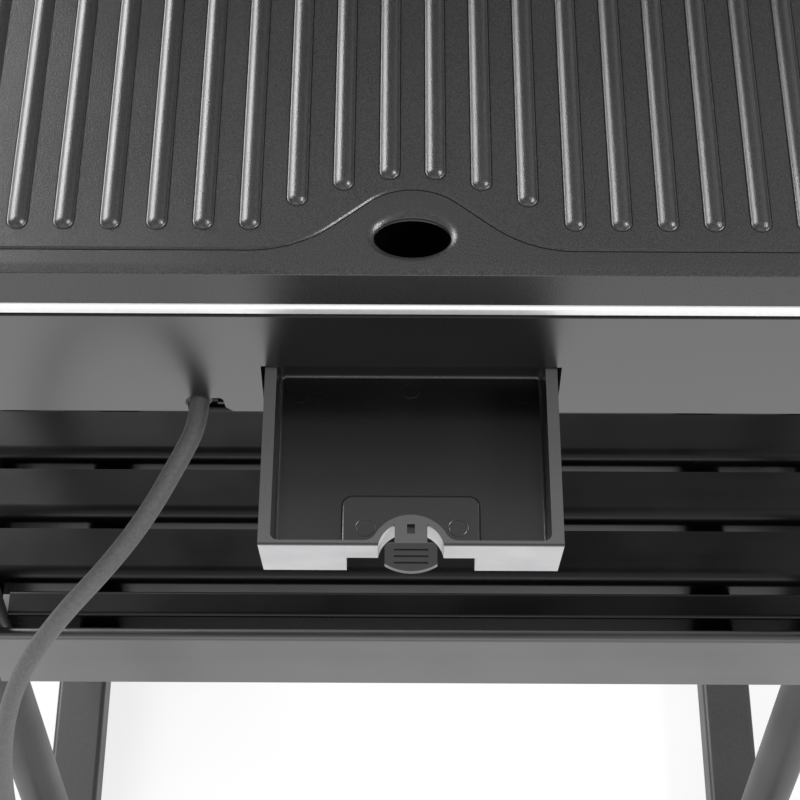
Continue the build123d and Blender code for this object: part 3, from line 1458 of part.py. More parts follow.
def biarc(start, start_way, end, end_way):
    """Two arcs that leave start and reach end in the given directions, added to the open line."""
    chord = end - start
    both = start_way + end_way
    spread = 2 * (1 - start_way.dot(end_way))
    if spread < 1e-9:
        arm = chord.dot(chord) / (4 * chord.dot(end_way))
    else:
        along = chord.dot(both)
        arm = (math.sqrt(along**2 + spread * chord.dot(chord)) - along) / spread
    first = start + start_way * arm
    second = end - end_way * arm
    joint = (first + second) * 0.5
    TangentArc(start, joint, tangent=start_way)
    TangentArc(joint, end, tangent=(second - first).normalized())


quarter_count = round(coil_end * 4)
tail_start = coil_point(coil_end) + Vector(tail_straight, 0, 0)
tail_end = Vector(tail_start.X + tail_reach, tail_start.Y, plug_diameter / 2)
with BuildPart() as cord_coil:
    with BuildLine() as coil_line:
        Line(route[-1], coil_point(0))
        for quarter in range(quarter_count):
            here = quarter / 4
            there = here + 0.25
            biarc(coil_point(here), coil_heading(here), coil_point(there), coil_heading(there))
        Line(coil_point(coil_end), tail_start)
        biarc(tail_start, Vector(1, 0, 0), tail_end, Vector(1, 0, 0))
        Line(tail_end, tail_end + Vector(cord_diameter, 0, 0))
    with BuildSketch(Plane(route[-1], z_dir=(0, 1, 0))):
        Circle(cord_diameter / 2)
    sweep()
coil_path = coil_line.wire()
coil_length = coil_path.length
print("coil length", round(coil_length), "whole cord", round(free_length + coil_length))
print("coil volume ratio", cord_coil.part.volume / coil_length / cord_section)
sample_count = 900
samples = [coil_path @ (number / sample_count) for number in range(sample_count + 1)]
spacing = coil_length / sample_count
apart = math.ceil(3 * cord_diameter / spacing)
least = min((a - b).length for n, a in enumerate(samples) for b in samples[n + apart :])
print("coil least gap", round(least - cord_diameter, 2))
write(cord_coil, "cord_coil")

# Plug: a tapered grip that flares into a round body, lying on the floor beside the coil
plug_x = tail_end.X + cord_diameter
plug_y = tail_end.Y
plug_z = tail_end.Z
flare_x = plug_x + plug_grip_length
face_x = flare_x + plug_length
with BuildPart() as plug_body:
    with BuildSketch(Plane.XZ.offset(-plug_y)):
        with BuildLine():
            Polyline(
                (plug_x, plug_z),
                (plug_x, plug_z + plug_neck_radius),
                (flare_x, plug_z + plug_diameter / 3),
                (flare_x + plug_flare, plug_z + plug_diameter / 2),
                (face_x, plug_z + plug_diameter / 2),
                (face_x, plug_z),
                (plug_x, plug_z),
            )
        make_face()
    revolve(axis=Axis((plug_x, plug_y, plug_z), (1, 0, 0)))
    fillet(plug_body.faces().sort_by(Axis.X)[-1].edges(), plug_round)
    face_plane = Plane(origin=(face_x, plug_y, plug_z), x_dir=(0, 1, 0), z_dir=(1, 0, 0))
    with BuildSketch(face_plane):
        with Locations((plug_pin_pitch / 2, 0), (-plug_pin_pitch / 2, 0)):
            Circle(plug_pin_root / 2)
    extrude(amount=-plug_pin_seat, mode=Mode.SUBTRACT)
    with BuildSketch(face_plane):
        with Locations((0, plug_diameter / 2), (0, -plug_diameter / 2)):
            Rectangle(contact_width, 2 * contact_depth)
    extrude(amount=-contact_length, mode=Mode.SUBTRACT)
write(plug_body, "plug_body")

with BuildPart() as plug_pins:
    with BuildSketch(face_plane):
        with Locations((plug_pin_pitch / 2, 0), (-plug_pin_pitch / 2, 0)):
            Circle(plug_pin_diameter / 2)
    extrude(amount=plug_pin_length)
    chamfer(plug_pins.faces().group_by(Axis.X)[-1].edges(), plug_pin_diameter / 6)
    with BuildSketch(face_plane):
        with Locations((plug_pin_pitch / 2, 0), (-plug_pin_pitch / 2, 0)):
            Circle(plug_pin_root / 2)
    extrude(amount=-plug_pin_seat)
write(plug_pins, "plug_pins")

with BuildPart() as plug_contacts:
    with BuildSketch(face_plane.offset(-contact_length)):
        contact_mid = plug_diameter / 2 - contact_depth + contact_sheet / 2
        with Locations((0, contact_mid), (0, -contact_mid)):
            Rectangle(contact_width - 2 * contact_sheet, contact_sheet)
    extrude(amount=contact_length)
write(plug_contacts, "plug_contacts")
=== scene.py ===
import json
import math

import bmesh
import bpy
import numpy as np
from mathutils import Matrix, Vector
from mathutils.geometry import delaunay_2d_cdt

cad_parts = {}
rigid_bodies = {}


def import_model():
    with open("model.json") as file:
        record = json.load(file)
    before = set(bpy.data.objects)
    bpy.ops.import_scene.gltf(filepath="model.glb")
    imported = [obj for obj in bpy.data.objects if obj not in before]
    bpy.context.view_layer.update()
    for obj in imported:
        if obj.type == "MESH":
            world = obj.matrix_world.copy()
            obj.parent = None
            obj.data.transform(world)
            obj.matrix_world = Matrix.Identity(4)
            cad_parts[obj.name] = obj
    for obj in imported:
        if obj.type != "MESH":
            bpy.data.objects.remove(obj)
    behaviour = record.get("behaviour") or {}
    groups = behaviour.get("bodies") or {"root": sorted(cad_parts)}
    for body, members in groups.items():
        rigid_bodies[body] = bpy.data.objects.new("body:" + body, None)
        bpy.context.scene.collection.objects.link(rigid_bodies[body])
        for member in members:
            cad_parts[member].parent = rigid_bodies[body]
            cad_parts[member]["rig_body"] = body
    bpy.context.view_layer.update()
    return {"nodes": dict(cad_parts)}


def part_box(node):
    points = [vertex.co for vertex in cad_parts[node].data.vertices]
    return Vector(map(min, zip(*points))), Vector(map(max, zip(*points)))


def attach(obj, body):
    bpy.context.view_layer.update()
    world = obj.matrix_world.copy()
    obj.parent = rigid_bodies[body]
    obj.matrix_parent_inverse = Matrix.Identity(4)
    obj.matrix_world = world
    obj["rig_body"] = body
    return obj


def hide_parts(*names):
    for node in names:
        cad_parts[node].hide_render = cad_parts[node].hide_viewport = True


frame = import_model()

scene = bpy.context.scene

# Camera: it stands above and in front of the drip tray and looks steeply down at it, a hair off level.
# It is placed from the front wall's plane and the wall's top. Every size in this file is in metres.
plate_low, plate_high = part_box("grill_plate")
front_y = plate_low[1]
seat_lip = 0.0005
wall_top_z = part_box("body_housing")[1][2] - seat_lip
camera_data = bpy.data.cameras.new("camera")
camera_data.lens = 97.3
camera_data.sensor_width = 36
camera = bpy.data.objects.new("camera", camera_data)
scene.collection.objects.link(camera)
camera.location = (-0.00355, front_y - 0.3856, wall_top_z + 0.5466)
camera_tilt = Matrix.Rotation(math.radians(33), 3, "X")
camera_roll = Matrix.Rotation(math.radians(0.27), 3, "Z")
camera.rotation_euler = (camera_tilt @ camera_roll).to_euler()
scene.camera = camera
scene.view_settings.view_transform = "Standard"


def area_lamp(name, place, aim, size, power):
    """A rectangular soft lamp at place, turned to face aim; size is its width and height."""
    lamp = bpy.data.lights.new(name, "AREA")
    lamp.shape = "RECTANGLE"
    lamp.size, lamp.size_y = size
    lamp.energy = power
    holder = bpy.data.objects.new(name, lamp)
    holder.location = place
    holder.rotation_euler = (Vector(aim) - Vector(place)).to_track_quat("-Z", "Y").to_euler()
    scene.collection.objects.link(holder)


# Studio light: two panels one above the other behind on the left, of which the upper is the brighter,
# a small one high on the right and a little in front, and a wide dim one far in front.
rear_y = plate_high[1]
mid_y = (front_y + rear_y) / 2
body_top = (0, mid_y, wall_top_z)
area_lamp("left_upper_panel", (-1.30, 1.16, wall_top_z + 1.12), body_top, (1.9, 0.55), 42)
area_lamp("left_lower_panel", (-1.55, 1.30, wall_top_z + 0.52), body_top, (1.6, 0.7), 26)
area_lamp("right_panel", (1.60, -0.38, wall_top_z + 1.15), body_top, (0.6, 0.6), 32)
area_lamp("front_panel", (-0.5, -2.4, wall_top_z + 0.25), body_top, (3.2, 1.7), 20)

# Backdrop: nearly white to the camera, and a soft grey light for everything else.
world = bpy.data.worlds.new("studio")
scene.world = world
world.use_nodes = True
sky = world.node_tree
sky.nodes.clear()
sky_out = sky.nodes.new("ShaderNodeOutputWorld")
sky_mix = sky.nodes.new("ShaderNodeMixShader")
sky_light = sky.nodes.new("ShaderNodeBackground")
sky_light.inputs["Color"].default_value = (0.55, 0.55, 0.55, 1)
sky_light.inputs["Strength"].default_value = 1.0
sky_seen = sky.nodes.new("ShaderNodeBackground")
sky_seen.inputs["Color"].default_value = (0.93, 0.93, 0.93, 1)
sky_path = sky.nodes.new("ShaderNodeLightPath")
sky.links.new(sky_path.outputs["Is Camera Ray"], sky_mix.inputs["Fac"])
sky.links.new(sky_light.outputs[0], sky_mix.inputs[1])
sky.links.new(sky_seen.outputs[0], sky_mix.inputs[2])
sky.links.new(sky_mix.outputs[0], sky_out.inputs["Surface"])

# Floor: a plain white sheet that takes a soft shadow. The camera and reflections see it mostly as an
# even white, by a share of glow.
floor_mesh = bpy.data.meshes.new("floor")
floor_half = 4.0
floor_z = -0.0005
glow_share = 0.8
floor_sides = ((-1, -1), (1, -1), (1, 1), (-1, 1))
floor_corners = [(x * floor_half, y * floor_half, floor_z) for x, y in floor_sides]
floor_mesh.from_pydata(floor_corners, [], [(0, 1, 2, 3)])
floor = bpy.data.objects.new("floor", floor_mesh)
scene.collection.objects.link(floor)
floor_finish = bpy.data.materials.new("floor_paper")
floor_finish.use_nodes = True
paper = floor_finish.node_tree
paper_shader = paper.nodes["Principled BSDF"]
paper_shader.inputs["Base Color"].default_value = (0.86, 0.86, 0.86, 1)
paper_shader.inputs["Roughness"].default_value = 0.7
paper_glow = paper.nodes.new("ShaderNodeEmission")
paper_glow.inputs["Color"].default_value = (1, 1, 1, 1)
paper_mix = paper.nodes.new("ShaderNodeMixShader")
paper_path = paper.nodes.new("ShaderNodeLightPath")
paper_seen = paper.nodes.new("ShaderNodeMath")
paper_seen.operation = "MAXIMUM"
paper_share = paper.nodes.new("ShaderNodeMath")
paper_share.operation = "MULTIPLY"
paper_share.inputs[1].default_value = glow_share
paper.links.new(paper_path.outputs["Is Camera Ray"], paper_seen.inputs[0])
paper.links.new(paper_path.outputs["Is Glossy Ray"], paper_seen.inputs[1])
paper.links.new(paper_seen.outputs[0], paper_share.inputs[0])
paper.links.new(paper_share.outputs[0], paper_mix.inputs["Fac"])
paper.links.new(paper_shader.outputs[0], paper_mix.inputs[1])
paper.links.new(paper_glow.outputs[0], paper_mix.inputs[2])
paper.links.new(paper_mix.outputs[0], paper.nodes["Material Output"].inputs["Surface"])
floor_mesh.materials.append(floor_finish)


# Mains lead: a round rubber-sheathed cord, moulded into its relief in the wall's notch. It hangs
# down past the shelf, and its spare length lies coiled on the floor as it was put away.
cord_diameter = 0.0065
cord_exit_x = -0.0693
cord_exit_drop = 0.0493
relief_recess = 0.0012
floor_drop = wall_top_z - cord_diameter / 2
cord_points = [
    (cord_exit_x, -relief_recess, cord_exit_drop),
    (cord_exit_x, 0.0085, cord_exit_drop),
    (-0.0748, 0.0205, 0.0516),
    (-0.0845, 0.038, 0.0572),
    (-0.097, 0.051, 0.067),
    (-0.116, 0.062, 0.086),
    (-0.134, 0.0675, 0.120),
    (-0.147, 0.0698, 0.177),
    (-0.154, 0.0701, 0.257),
    (-0.1575, 0.0696, 0.344),
    (-0.159, 0.0687, 0.431),
    (-0.1595, 0.0678, 0.518),
    (-0.1595, 0.0658, 0.603),
    (-0.159, 0.058, 0.666),
    (-0.1585, 0.036, 0.710),
    (-0.1582, 0.012, 0.730),
    (-0.158, -0.013, floor_drop),
    (-0.158, -0.030, floor_drop),
]
cord_route = [(x, front_y - out, wall_top_z - down) for x, out, down in cord_points]

coil_radius = 0.043
coil_pitch = 0.007
coil_layer_rise = 0.00695
coil_turns_in = 2
coil_turns_out = 1.75
tail_straight = 0.015
tail_reach = 0.041
coil_x = cord_route[-1][0] + coil_radius
coil_y = cord_route[-1][1] + cord_diameter
coil_end = coil_turns_in + 0.5 + coil_turns_out
points_per_turn = 16


def coil_spot(turn):
    """The coil's line after so many turns: in at a steady pitch, up a layer in half a turn, out again."""
    climb = min(max(turn - coil_turns_in, 0), 0.5)
    dip = coil_pitch / (2 * math.pi) * math.sin(2 * math.pi * climb)
    going_in = coil_pitch * min(turn, coil_turns_in)
    going_out = coil_pitch * max(turn - coil_turns_in - 0.5, 0)
    reach = coil_radius - going_in - dip + going_out
    height = cord_diameter / 2 + coil_layer_rise * (1 - math.cos(2 * math.pi * climb)) / 2
    angle = math.pi - 2 * math.pi * turn
    return (coil_x + reach * math.cos(angle), coil_y + reach * math.sin(angle), height)


plug_radius = 0.019
coil_last = coil_spot(coil_end)
tail_x = coil_last[0] + tail_straight
cord_route += [coil_spot(step / points_per_turn) for step in range(round(coil_end * points_per_turn) + 1)]
cord_route += [
    (tail_x, coil_last[1], coil_last[2]),
    (tail_x + 0.4 * tail_reach, coil_last[1], coil_last[2] + 0.0005),
    (tail_x + 0.6 * tail_reach, coil_last[1], plug_radius - 0.0005),
    (tail_x + tail_reach, coil_last[1], plug_radius),
    (tail_x + tail_reach + cord_diameter, coil_last[1], plug_radius),
]

cord_curve = bpy.data.curves.new("mains_lead", "CURVE")
cord_curve.dimensions = "3D"
cord_curve.bevel_depth = cord_diameter / 2
cord_curve.bevel_resolution = 6
cord_curve.resolution_u = 10
cord_curve.use_fill_caps = True
spline = cord_curve.splines.new("NURBS")
spline.points.add(len(cord_route) - 1)
spline.points.foreach_set("co", np.column_stack([cord_route, np.ones(len(cord_route))]).ravel())
spline.order_u = 3
spline.use_endpoint_u = True
cord_piece = bpy.data.objects.new("mains_lead", cord_curve)
scene.collection.objects.link(cord_piece)


def plain_finish(name, color, roughness, **inputs):
    """A Principled material; inputs are more of its sockets, by name with _ for a space."""
    material = bpy.data.materials.new(name)
    material.use_nodes = True
    shader = material.node_tree.nodes["Principled BSDF"]
    shader.inputs["Base Color"].default_value = (*color, 1)
    shader.inputs["Roughness"].default_value = roughness
    for socket, value in inputs.items():
        shader.inputs[socket.replace("_", " ")].default_value = value
    return material


def grain_group():
    """Moulded or rolled grain: noise over Object coordinates gives a value, a mask and a height."""
    group = bpy.data.node_groups.new("surface_grain", "ShaderNodeTree")
    for name, default in (("Scale", 900.0), ("Stretch X", 1.0), ("Stretch Y", 1.0), ("Stretch Z", 1.0)):
        socket = group.interface.new_socket(name, in_out="INPUT", socket_type="NodeSocketFloat")
        socket.default_value = default
    for name in ("Fine", "Patch"):
        group.interface.new_socket(name, in_out="OUTPUT", socket_type="NodeSocketFloat")
    source = group.nodes.new("NodeGroupInput")
    target = group.nodes.new("NodeGroupOutput")
    place = group.nodes.new("ShaderNodeTexCoord")
    stretch = group.nodes.new("ShaderNodeCombineXYZ")
    scaled = group.nodes.new("ShaderNodeVectorMath")
    scaled.operation = "MULTIPLY"
    fine = group.nodes.new("ShaderNodeTexNoise")
    fine.inputs["Detail"].default_value = 3
    patch = group.nodes.new("ShaderNodeTexNoise")
    patch.inputs["Scale"].default_value = 22
    patch.inputs["Detail"].default_value = 2
    for axis in "XYZ":
        group.links.new(source.outputs[f"Stretch {axis}"], stretch.inputs[axis])
    group.links.new(place.outputs["Object"], scaled.inputs[0])
    group.links.new(stretch.outputs[0], scaled.inputs[1])
    group.links.new(scaled.outputs[0], fine.inputs["Vector"])
    group.links.new(source.outputs["Scale"], fine.inputs["Scale"])
    group.links.new(place.outputs["Object"], patch.inputs["Vector"])
    group.links.new(fine.outputs["Fac"], target.inputs["Fine"])
    group.links.new(patch.outputs["Fac"], target.inputs["Patch"])
    return group


grain = grain_group()


def grained_finish(name, dark, light, roughness, spread, bump, scale=900.0, stretch=(1, 1, 1), **inputs):
    """A material whose colour runs from dark to light, and whose roughness and bump follow the grain."""
    material = plain_finish(name, dark, roughness, **inputs)
    tree = material.node_tree
    shader = tree.nodes["Principled BSDF"]
    pattern = tree.nodes.new("ShaderNodeGroup")
    pattern.node_tree = grain
    pattern.inputs["Scale"].default_value = scale
    for axis, value in zip("XYZ", stretch):
        pattern.inputs[f"Stretch {axis}"].default_value = value
    tint = tree.nodes.new("ShaderNodeMix")
    tint.data_type = "RGBA"
    tint.inputs["A"].default_value = (*dark, 1)
    tint.inputs["B"].default_value = (*light, 1)
    contrast = tree.nodes.new("ShaderNodeMapRange")
    contrast.inputs["From Min"].default_value = 0.32
    contrast.inputs["From Max"].default_value = 0.68
    rough = tree.nodes.new("ShaderNodeMapRange")
    rough.inputs["From Min"].default_value = 0.3
    rough.inputs["From Max"].default_value = 0.7
    rough.inputs["To Min"].default_value = roughness - spread
    rough.inputs["To Max"].default_value = roughness + spread
    relief = tree.nodes.new("ShaderNodeBump")
    relief.inputs["Distance"].default_value = bump
    relief.inputs["Strength"].default_value = 1
    tree.links.new(pattern.outputs["Fine"], contrast.inputs["Value"])
    tree.links.new(contrast.outputs[0], tint.inputs["Factor"])
    tree.links.new(tint.outputs["Result"], shader.inputs["Base Color"])
    tree.links.new(pattern.outputs["Patch"], rough.inputs["Value"])
    tree.links.new(rough.outputs[0], shader.inputs["Roughness"])
    tree.links.new(pattern.outputs["Fine"], relief.inputs["Height"])
    tree.links.new(relief.outputs[0], shader.inputs["Normal"])
    return material


def height_group():
    """A mask from Object height: 0 below Low, 1 above High, a straight ramp between them, and Ahead times
    that where the surface lies in front of the Object depth Front."""
    group = bpy.data.node_groups.new("height_mask", "ShaderNodeTree")
    for name in ("Low", "High", "Front", "Ahead"):
        group.interface.new_socket(name, in_out="INPUT", socket_type="NodeSocketFloat")
    group.interface.new_socket("Mask", in_out="OUTPUT", socket_type="NodeSocketFloat")
    source = group.nodes.new("NodeGroupInput")
    target = group.nodes.new("NodeGroupOutput")
    place = group.nodes.new("ShaderNodeTexCoord")
    split = group.nodes.new("ShaderNodeSeparateXYZ")
    ramp = group.nodes.new("ShaderNodeMapRange")
    group.links.new(place.outputs["Object"], split.inputs[0])
    group.links.new(split.outputs["Z"], ramp.inputs["Value"])
    group.links.new(source.outputs["Low"], ramp.inputs["From Min"])
    group.links.new(source.outputs["High"], ramp.inputs["From Max"])
    behind = group.nodes.new("ShaderNodeMath")
    behind.operation = "GREATER_THAN"
    share = group.nodes.new("ShaderNodeMapRange")
    masked = group.nodes.new("ShaderNodeMath")
    masked.operation = "MULTIPLY"
    group.links.new(split.outputs["Y"], behind.inputs[0])
    group.links.new(source.outputs["Front"], behind.inputs[1])
    group.links.new(behind.outputs[0], share.inputs["Value"])
    group.links.new(source.outputs["Ahead"], share.inputs["To Min"])
    group.links.new(ramp.outputs[0], masked.inputs[0])
    group.links.new(share.outputs[0], masked.inputs[1])
    group.links.new(masked.outputs[0], target.inputs["Mask"])
    return group


height_mask = height_group()


def turn_at_height(material, low, high, color=None, roughness=None, coat=None, front=-10.0, ahead=1.0):
    """Above a height range the material takes another colour, roughness or coat weight. Ahead is the
    share of it that is left in front of the depth front."""
    tree = material.node_tree
    shader = tree.nodes["Principled BSDF"]
    mask = tree.nodes.new("ShaderNodeGroup")
    mask.node_tree = height_mask
    mask.inputs["Low"].default_value = low
    mask.inputs["High"].default_value = high
    mask.inputs["Front"].default_value = front
    mask.inputs["Ahead"].default_value = ahead
    for socket, value in (("Base Color", color), ("Roughness", roughness), ("Coat Weight", coat)):
        if value is None:
            continue
        is_color = socket == "Base Color"
        blend = tree.nodes.new("ShaderNodeMix")
        blend.data_type = "RGBA" if is_color else "FLOAT"
        # The mix node keeps sockets for colours and for plain numbers side by side.
        below, above, result = (6, 7, 2) if is_color else (2, 3, 0)
        target = shader.inputs[socket]
        blend.inputs[below].default_value = target.default_value
        if target.is_linked:
            tree.links.new(target.links[0].from_socket, blend.inputs[below])
        blend.inputs[above].default_value = (*value, 1) if is_color else value
        tree.links.new(mask.outputs[0], blend.inputs[0])
        tree.links.new(blend.outputs[result], target)


sheath_rubber = grained_finish(
    "sheath_rubber", (0.085, 0.085, 0.088), (0.12, 0.12, 0.123), roughness=0.62, spread=0.05,
    bump=0.00004,
)
cord_curve.materials.append(sheath_rubber)
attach(cord_piece, "stand")
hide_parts("power_cord", "cord_coil")


# Grill plate: an aluminium casting with a dark, finely speckled non-stick coating. Its edge turns
# down over the trim, a low step bounds the cooking platform, and fat runs off through an oval drain.
plate_corner = 0.028
lip_thickness = 0.004
lip_crease = 0.0032
lip_foot_round = 0.0004
edge_drop = 0.00035
edge_round = 0.0005
margin_from = 0.0001
platform_drop = 0.0045
margin_step = 0.0005
plate_thickness = 0.005
platform_inset = 0.009
platform_corner = 0.022
step_from, step_run, step_to = -0.0009, 0.0006, 0.0014
step_foot_round = 0.00008
step_head_round = 0.0004
crease_from, crease_bottom, crease_depth = -0.00038, -0.00016, 0.0007
crease_round = 0.00004
bell_run = 0.06
bell_foot = 0.0356
bell_peak = 0.02986
bell_rounds = (0.039, 0.021, 0.039)
drain_setback = 0.0147
drain_half = (0.012, 0.00765)
dish_reach = 0.0024
dish_radius = 0.0030
dish_margin = 0.0003
dish_edge_round = 0.00003
drain_edge_depth = 0.0019
drain_edge_lean = 0.0001
undercut = 0.0004
undercut_run = 0.001
bore_round = 0.0002
spout_wall = 0.0024
spout_drop = 0.004
platform_z = plate_high[2] - platform_drop
margin_z = platform_z - margin_step
plate_under_z = platform_z - plate_thickness
half_width = plate_high[0]


def rounded_box(low, high, radius, steps=10):
    """A rectangle's outline with quarter circles at its corners, counter-clockwise from the front
    edge's right end: corner centre + radius (cos a, sin a)."""
    quarter = np.radians(np.linspace(-90, 0, steps + 1))
    angle = quarter + np.radians(90) * np.arange(4)[:, None]
    centre_x = np.array([high[0], high[0], low[0], low[0]]) + radius * np.array([-1, -1, 1, 1])
    centre_y = np.array([low[1], high[1], high[1], low[1]]) + radius * np.array([1, -1, -1, 1])
    across = centre_x[:, None] + radius * np.cos(angle)
    along = centre_y[:, None] + radius * np.sin(angle)
    return np.stack([across, along], axis=-1).reshape(-1, 2)


def oval(centre, half, steps=48):
    """An ellipse's outline: centre + (half length cos a, half width sin a)."""
    angle = np.linspace(0, 2 * math.pi, steps, endpoint=False)
    return np.array(centre) + np.array(half) * np.stack([np.cos(angle), np.sin(angle)], axis=-1)


def rounded_path(corners, radii, steps=6):
    """A line through corners, each inner one replaced by an arc of its radius: the arc starts and ends
    radius / tan(half the corner's angle) away from the corner."""
    path = [np.array([corners[0]])]
    for before, corner, after, radius in zip(corners, corners[1:], corners[2:], radii):
        ways = np.array([before, after]) - np.array(corner)
        ways /= np.linalg.norm(ways, axis=1)[:, None]
        half = math.acos(np.clip(ways[0] @ ways[1], -1, 1)) / 2
        inwards = ways.sum(axis=0)
        middle = np.array(corner) + inwards * radius / (math.sin(half) * np.linalg.norm(inwards))
        start, end = np.array(corner) + ways * radius / math.tan(half) - middle
        share = np.linspace(0, 1, steps + 1)[:, None]
        turn = math.pi - 2 * half
        spokes = np.sin((1 - share) * turn) * start + np.sin(share * turn) * end
        path.append(middle + spokes / math.sin(turn))
    path.append(np.array([corners[-1]]))
    return np.concatenate(path)


def inset(outline, distance):
    """The outline moved inwards: each point goes along the mitre of its two edges' normals."""
    ahead = np.roll(outline, -1, axis=0) - outline
    ahead /= np.linalg.norm(ahead, axis=1)[:, None]
    normal = np.stack([-ahead[:, 1], ahead[:, 0]], axis=1)
    mitre = normal + np.roll(normal, 1, axis=0)
    return outline + distance * mitre * (2 / (mitre**2).sum(axis=1))[:, None]


def swept(outline, profile):
    """A wall: for each profile point (d, z), a ring, the outline moved inwards by d at height z."""
    rings = [np.column_stack([inset(outline, d), np.full(len(outline), z)]) for d, z in profile]
    return np.array(rings)


def box_wall(low, high, radius, profile, steps=10):
    """A wall round a rounded rectangle: for each profile point (d, z), the rectangle drawn in by d on
    every side, at height z."""
    rings = []
    for d, z in profile:
        ring = rounded_box(np.add(low[:2], d), np.subtract(high[:2], d), radius - d, steps)
        rings.append(np.column_stack([ring, np.full(len(ring), z)]))
    return np.array(rings)


def ring_quads(rows, columns, start=0):
    """Corner numbers of the quads between neighbouring rings of a wall."""
    row, column = (side.ravel() for side in np.indices((rows - 1, columns)))
    ahead = (column + 1) % columns
    here, above = row * columns, (row + 1) * columns
    return start + np.stack([here + column, here + ahead, above + ahead, above + column], axis=1)


def inside(spots, loop):
    """Whether each spot lies in a closed loop: a ray from it to +X crosses an odd number of edges."""
    ends = np.roll(loop, -1, axis=0)
    x, y = spots[:, :1], spots[:, 1:2]
    spans = (loop[:, 1] > y) != (ends[:, 1] > y)
    rise = np.where(ends[:, 1] == loop[:, 1], 1, ends[:, 1] - loop[:, 1])
    crossing = loop[:, 0] + (y - loop[:, 1]) / rise * (ends[:, 0] - loop[:, 0])
    return (spans & (crossing > x)).sum(axis=1) % 2 == 1


def flat_fill(points, rings):
    """Triangles between nested flat rings of point numbers: the space inside an odd number of them."""
    order = np.concatenate(rings)
    flat = points[order, :2]
    starts = np.cumsum([0] + [len(ring) for ring in rings])
    edges, loops = [], []
    for start, ring in zip(starts, rings):
        along = np.arange(len(ring))
        edges += (start + np.stack([along, (along + 1) % len(ring)], axis=1)).tolist()
        loops.append(flat[start : start + len(ring)])
    _, _, faces, given_points, *_ = delaunay_2d_cdt([Vector(spot) for spot in flat], edges, [], 0, 1e-9)
    triangles = np.array([[given_points[corner][0] for corner in face] for face in faces])
    middles = flat[triangles].mean(axis=1)
    loops_round = sum(inside(middles, loop).astype(int) for loop in loops)
    return order[triangles[loops_round % 2 == 1]]


def closed_mesh(name, walls, caps):
    """A mesh of walls, each a stack of closed rings, and of flat caps between rims.
    A cap is ([(wall number, ring number), ...], faces_up)."""
    starts = np.cumsum([0] + [wall.shape[0] * wall.shape[1] for wall in walls])
    points = np.concatenate([wall.reshape(-1, 3) for wall in walls])
    faces = []
    for start, wall in zip(starts, walls):
        faces += ring_quads(*wall.shape[:2], start).tolist()
    for rims, faces_up in caps:
        rings = []
        for number, ring in rims:
            rows, columns = walls[number].shape[:2]
            rings.append(starts[number] + (ring % rows) * columns + np.arange(columns))
        triangles = flat_fill(points, rings)
        faces += (triangles if faces_up else triangles[:, ::-1]).tolist()
    mesh = bpy.data.meshes.new(name)
    mesh.from_pydata(points.tolist(), [], faces)
    return mesh


def add_piece(mesh, body, slot, finish, *nodes, sharp=35):
    """Put a mesh in the scene, smooth up to an angle in degrees, as the stand-in for CAD nodes."""
    mesh.materials.clear()
    mesh.materials.append(finish)
    mesh.shade_smooth()
    mesh.set_sharp_from_angle(angle=math.radians(sharp))
    piece = bpy.data.objects.new(mesh.name, mesh)
    scene.collection.objects.link(piece)
    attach(piece, body)
    if nodes:
        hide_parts(*nodes)
    return piece


def weigh_normals(piece):
    """Flat faces keep their own normal where they run into a rounded edge."""
    weighted = piece.modifiers.new("flat_faces", "WEIGHTED_NORMAL")
    weighted.weight = 100
    weighted.keep_sharp = True


lip_profile = rounded_path(
    [(lip_thickness, plate_under_z), (lip_thickness, plate_low[2]), (0, plate_low[2]),
     (0, margin_z - edge_drop), (lip_crease, margin_z)],
    [lip_foot_round, lip_foot_round, edge_round],
)
lip_inner = [(lip_thickness + margin_from, margin_z)]
plate_edge = box_wall(plate_low, plate_high, plate_corner, np.concatenate([lip_profile, lip_inner]))

bell_corners = [(-bell_run, 0), (-bell_foot, 0), (0, bell_peak), (bell_foot, 0), (bell_run, 0)]
bell = rounded_path(bell_corners, bell_rounds, steps=20)
platform_low = (-half_width + platform_inset, front_y + platform_inset)
platform_high = (half_width - platform_inset, rear_y - platform_inset)
platform_outline = np.concatenate(
    [rounded_box(platform_low, platform_high, platform_corner), bell + (0, front_y + platform_inset)]
)
step_profile = rounded_path(
    [(step_from, margin_z), (crease_from, margin_z), (crease_bottom, margin_z - crease_depth),
     (0, margin_z), (step_run, platform_z), (step_to, platform_z)],
    [crease_round, crease_round, step_foot_round, step_head_round],
)
platform_wall = swept(platform_outline, step_profile)

drain_centre = (0, front_y + drain_setback)
drain_outline = oval(drain_centre, drain_half)
spout_z = plate_under_z - spout_drop
dish_tilt = np.linspace(0, math.asin(dish_reach / dish_radius), 9)
dish = np.stack([
    dish_radius * np.sin(dish_tilt) - dish_reach,
    margin_z - dish_radius * (1 - np.cos(dish_tilt)),
], axis=1)
drain_edge_z = margin_z - drain_edge_depth
bore = rounded_path(
    [dish[-1], (drain_edge_lean, dish[-1, 1] - drain_edge_lean), (drain_edge_lean, drain_edge_z),
     (-undercut, drain_edge_z - undercut), (0, drain_edge_z - undercut_run), (0, spout_z),
     (-spout_wall, spout_z), (-spout_wall, plate_under_z)],
    [dish_edge_round] + [bore_round] * 5,
)
dish_start = [(-dish_reach - dish_margin, margin_z)]
drain_wall = swept(drain_outline, np.concatenate([dish_start, dish[:-1], bore]))
plate_mesh = closed_mesh(
    "plate_casting",
    [plate_edge, platform_wall, drain_wall],
    [
        ([(0, -1), (1, 0), (2, 0)], True),
        ([(1, -1)], True),
        ([(0, 0), (2, -1)], False),
    ],
)

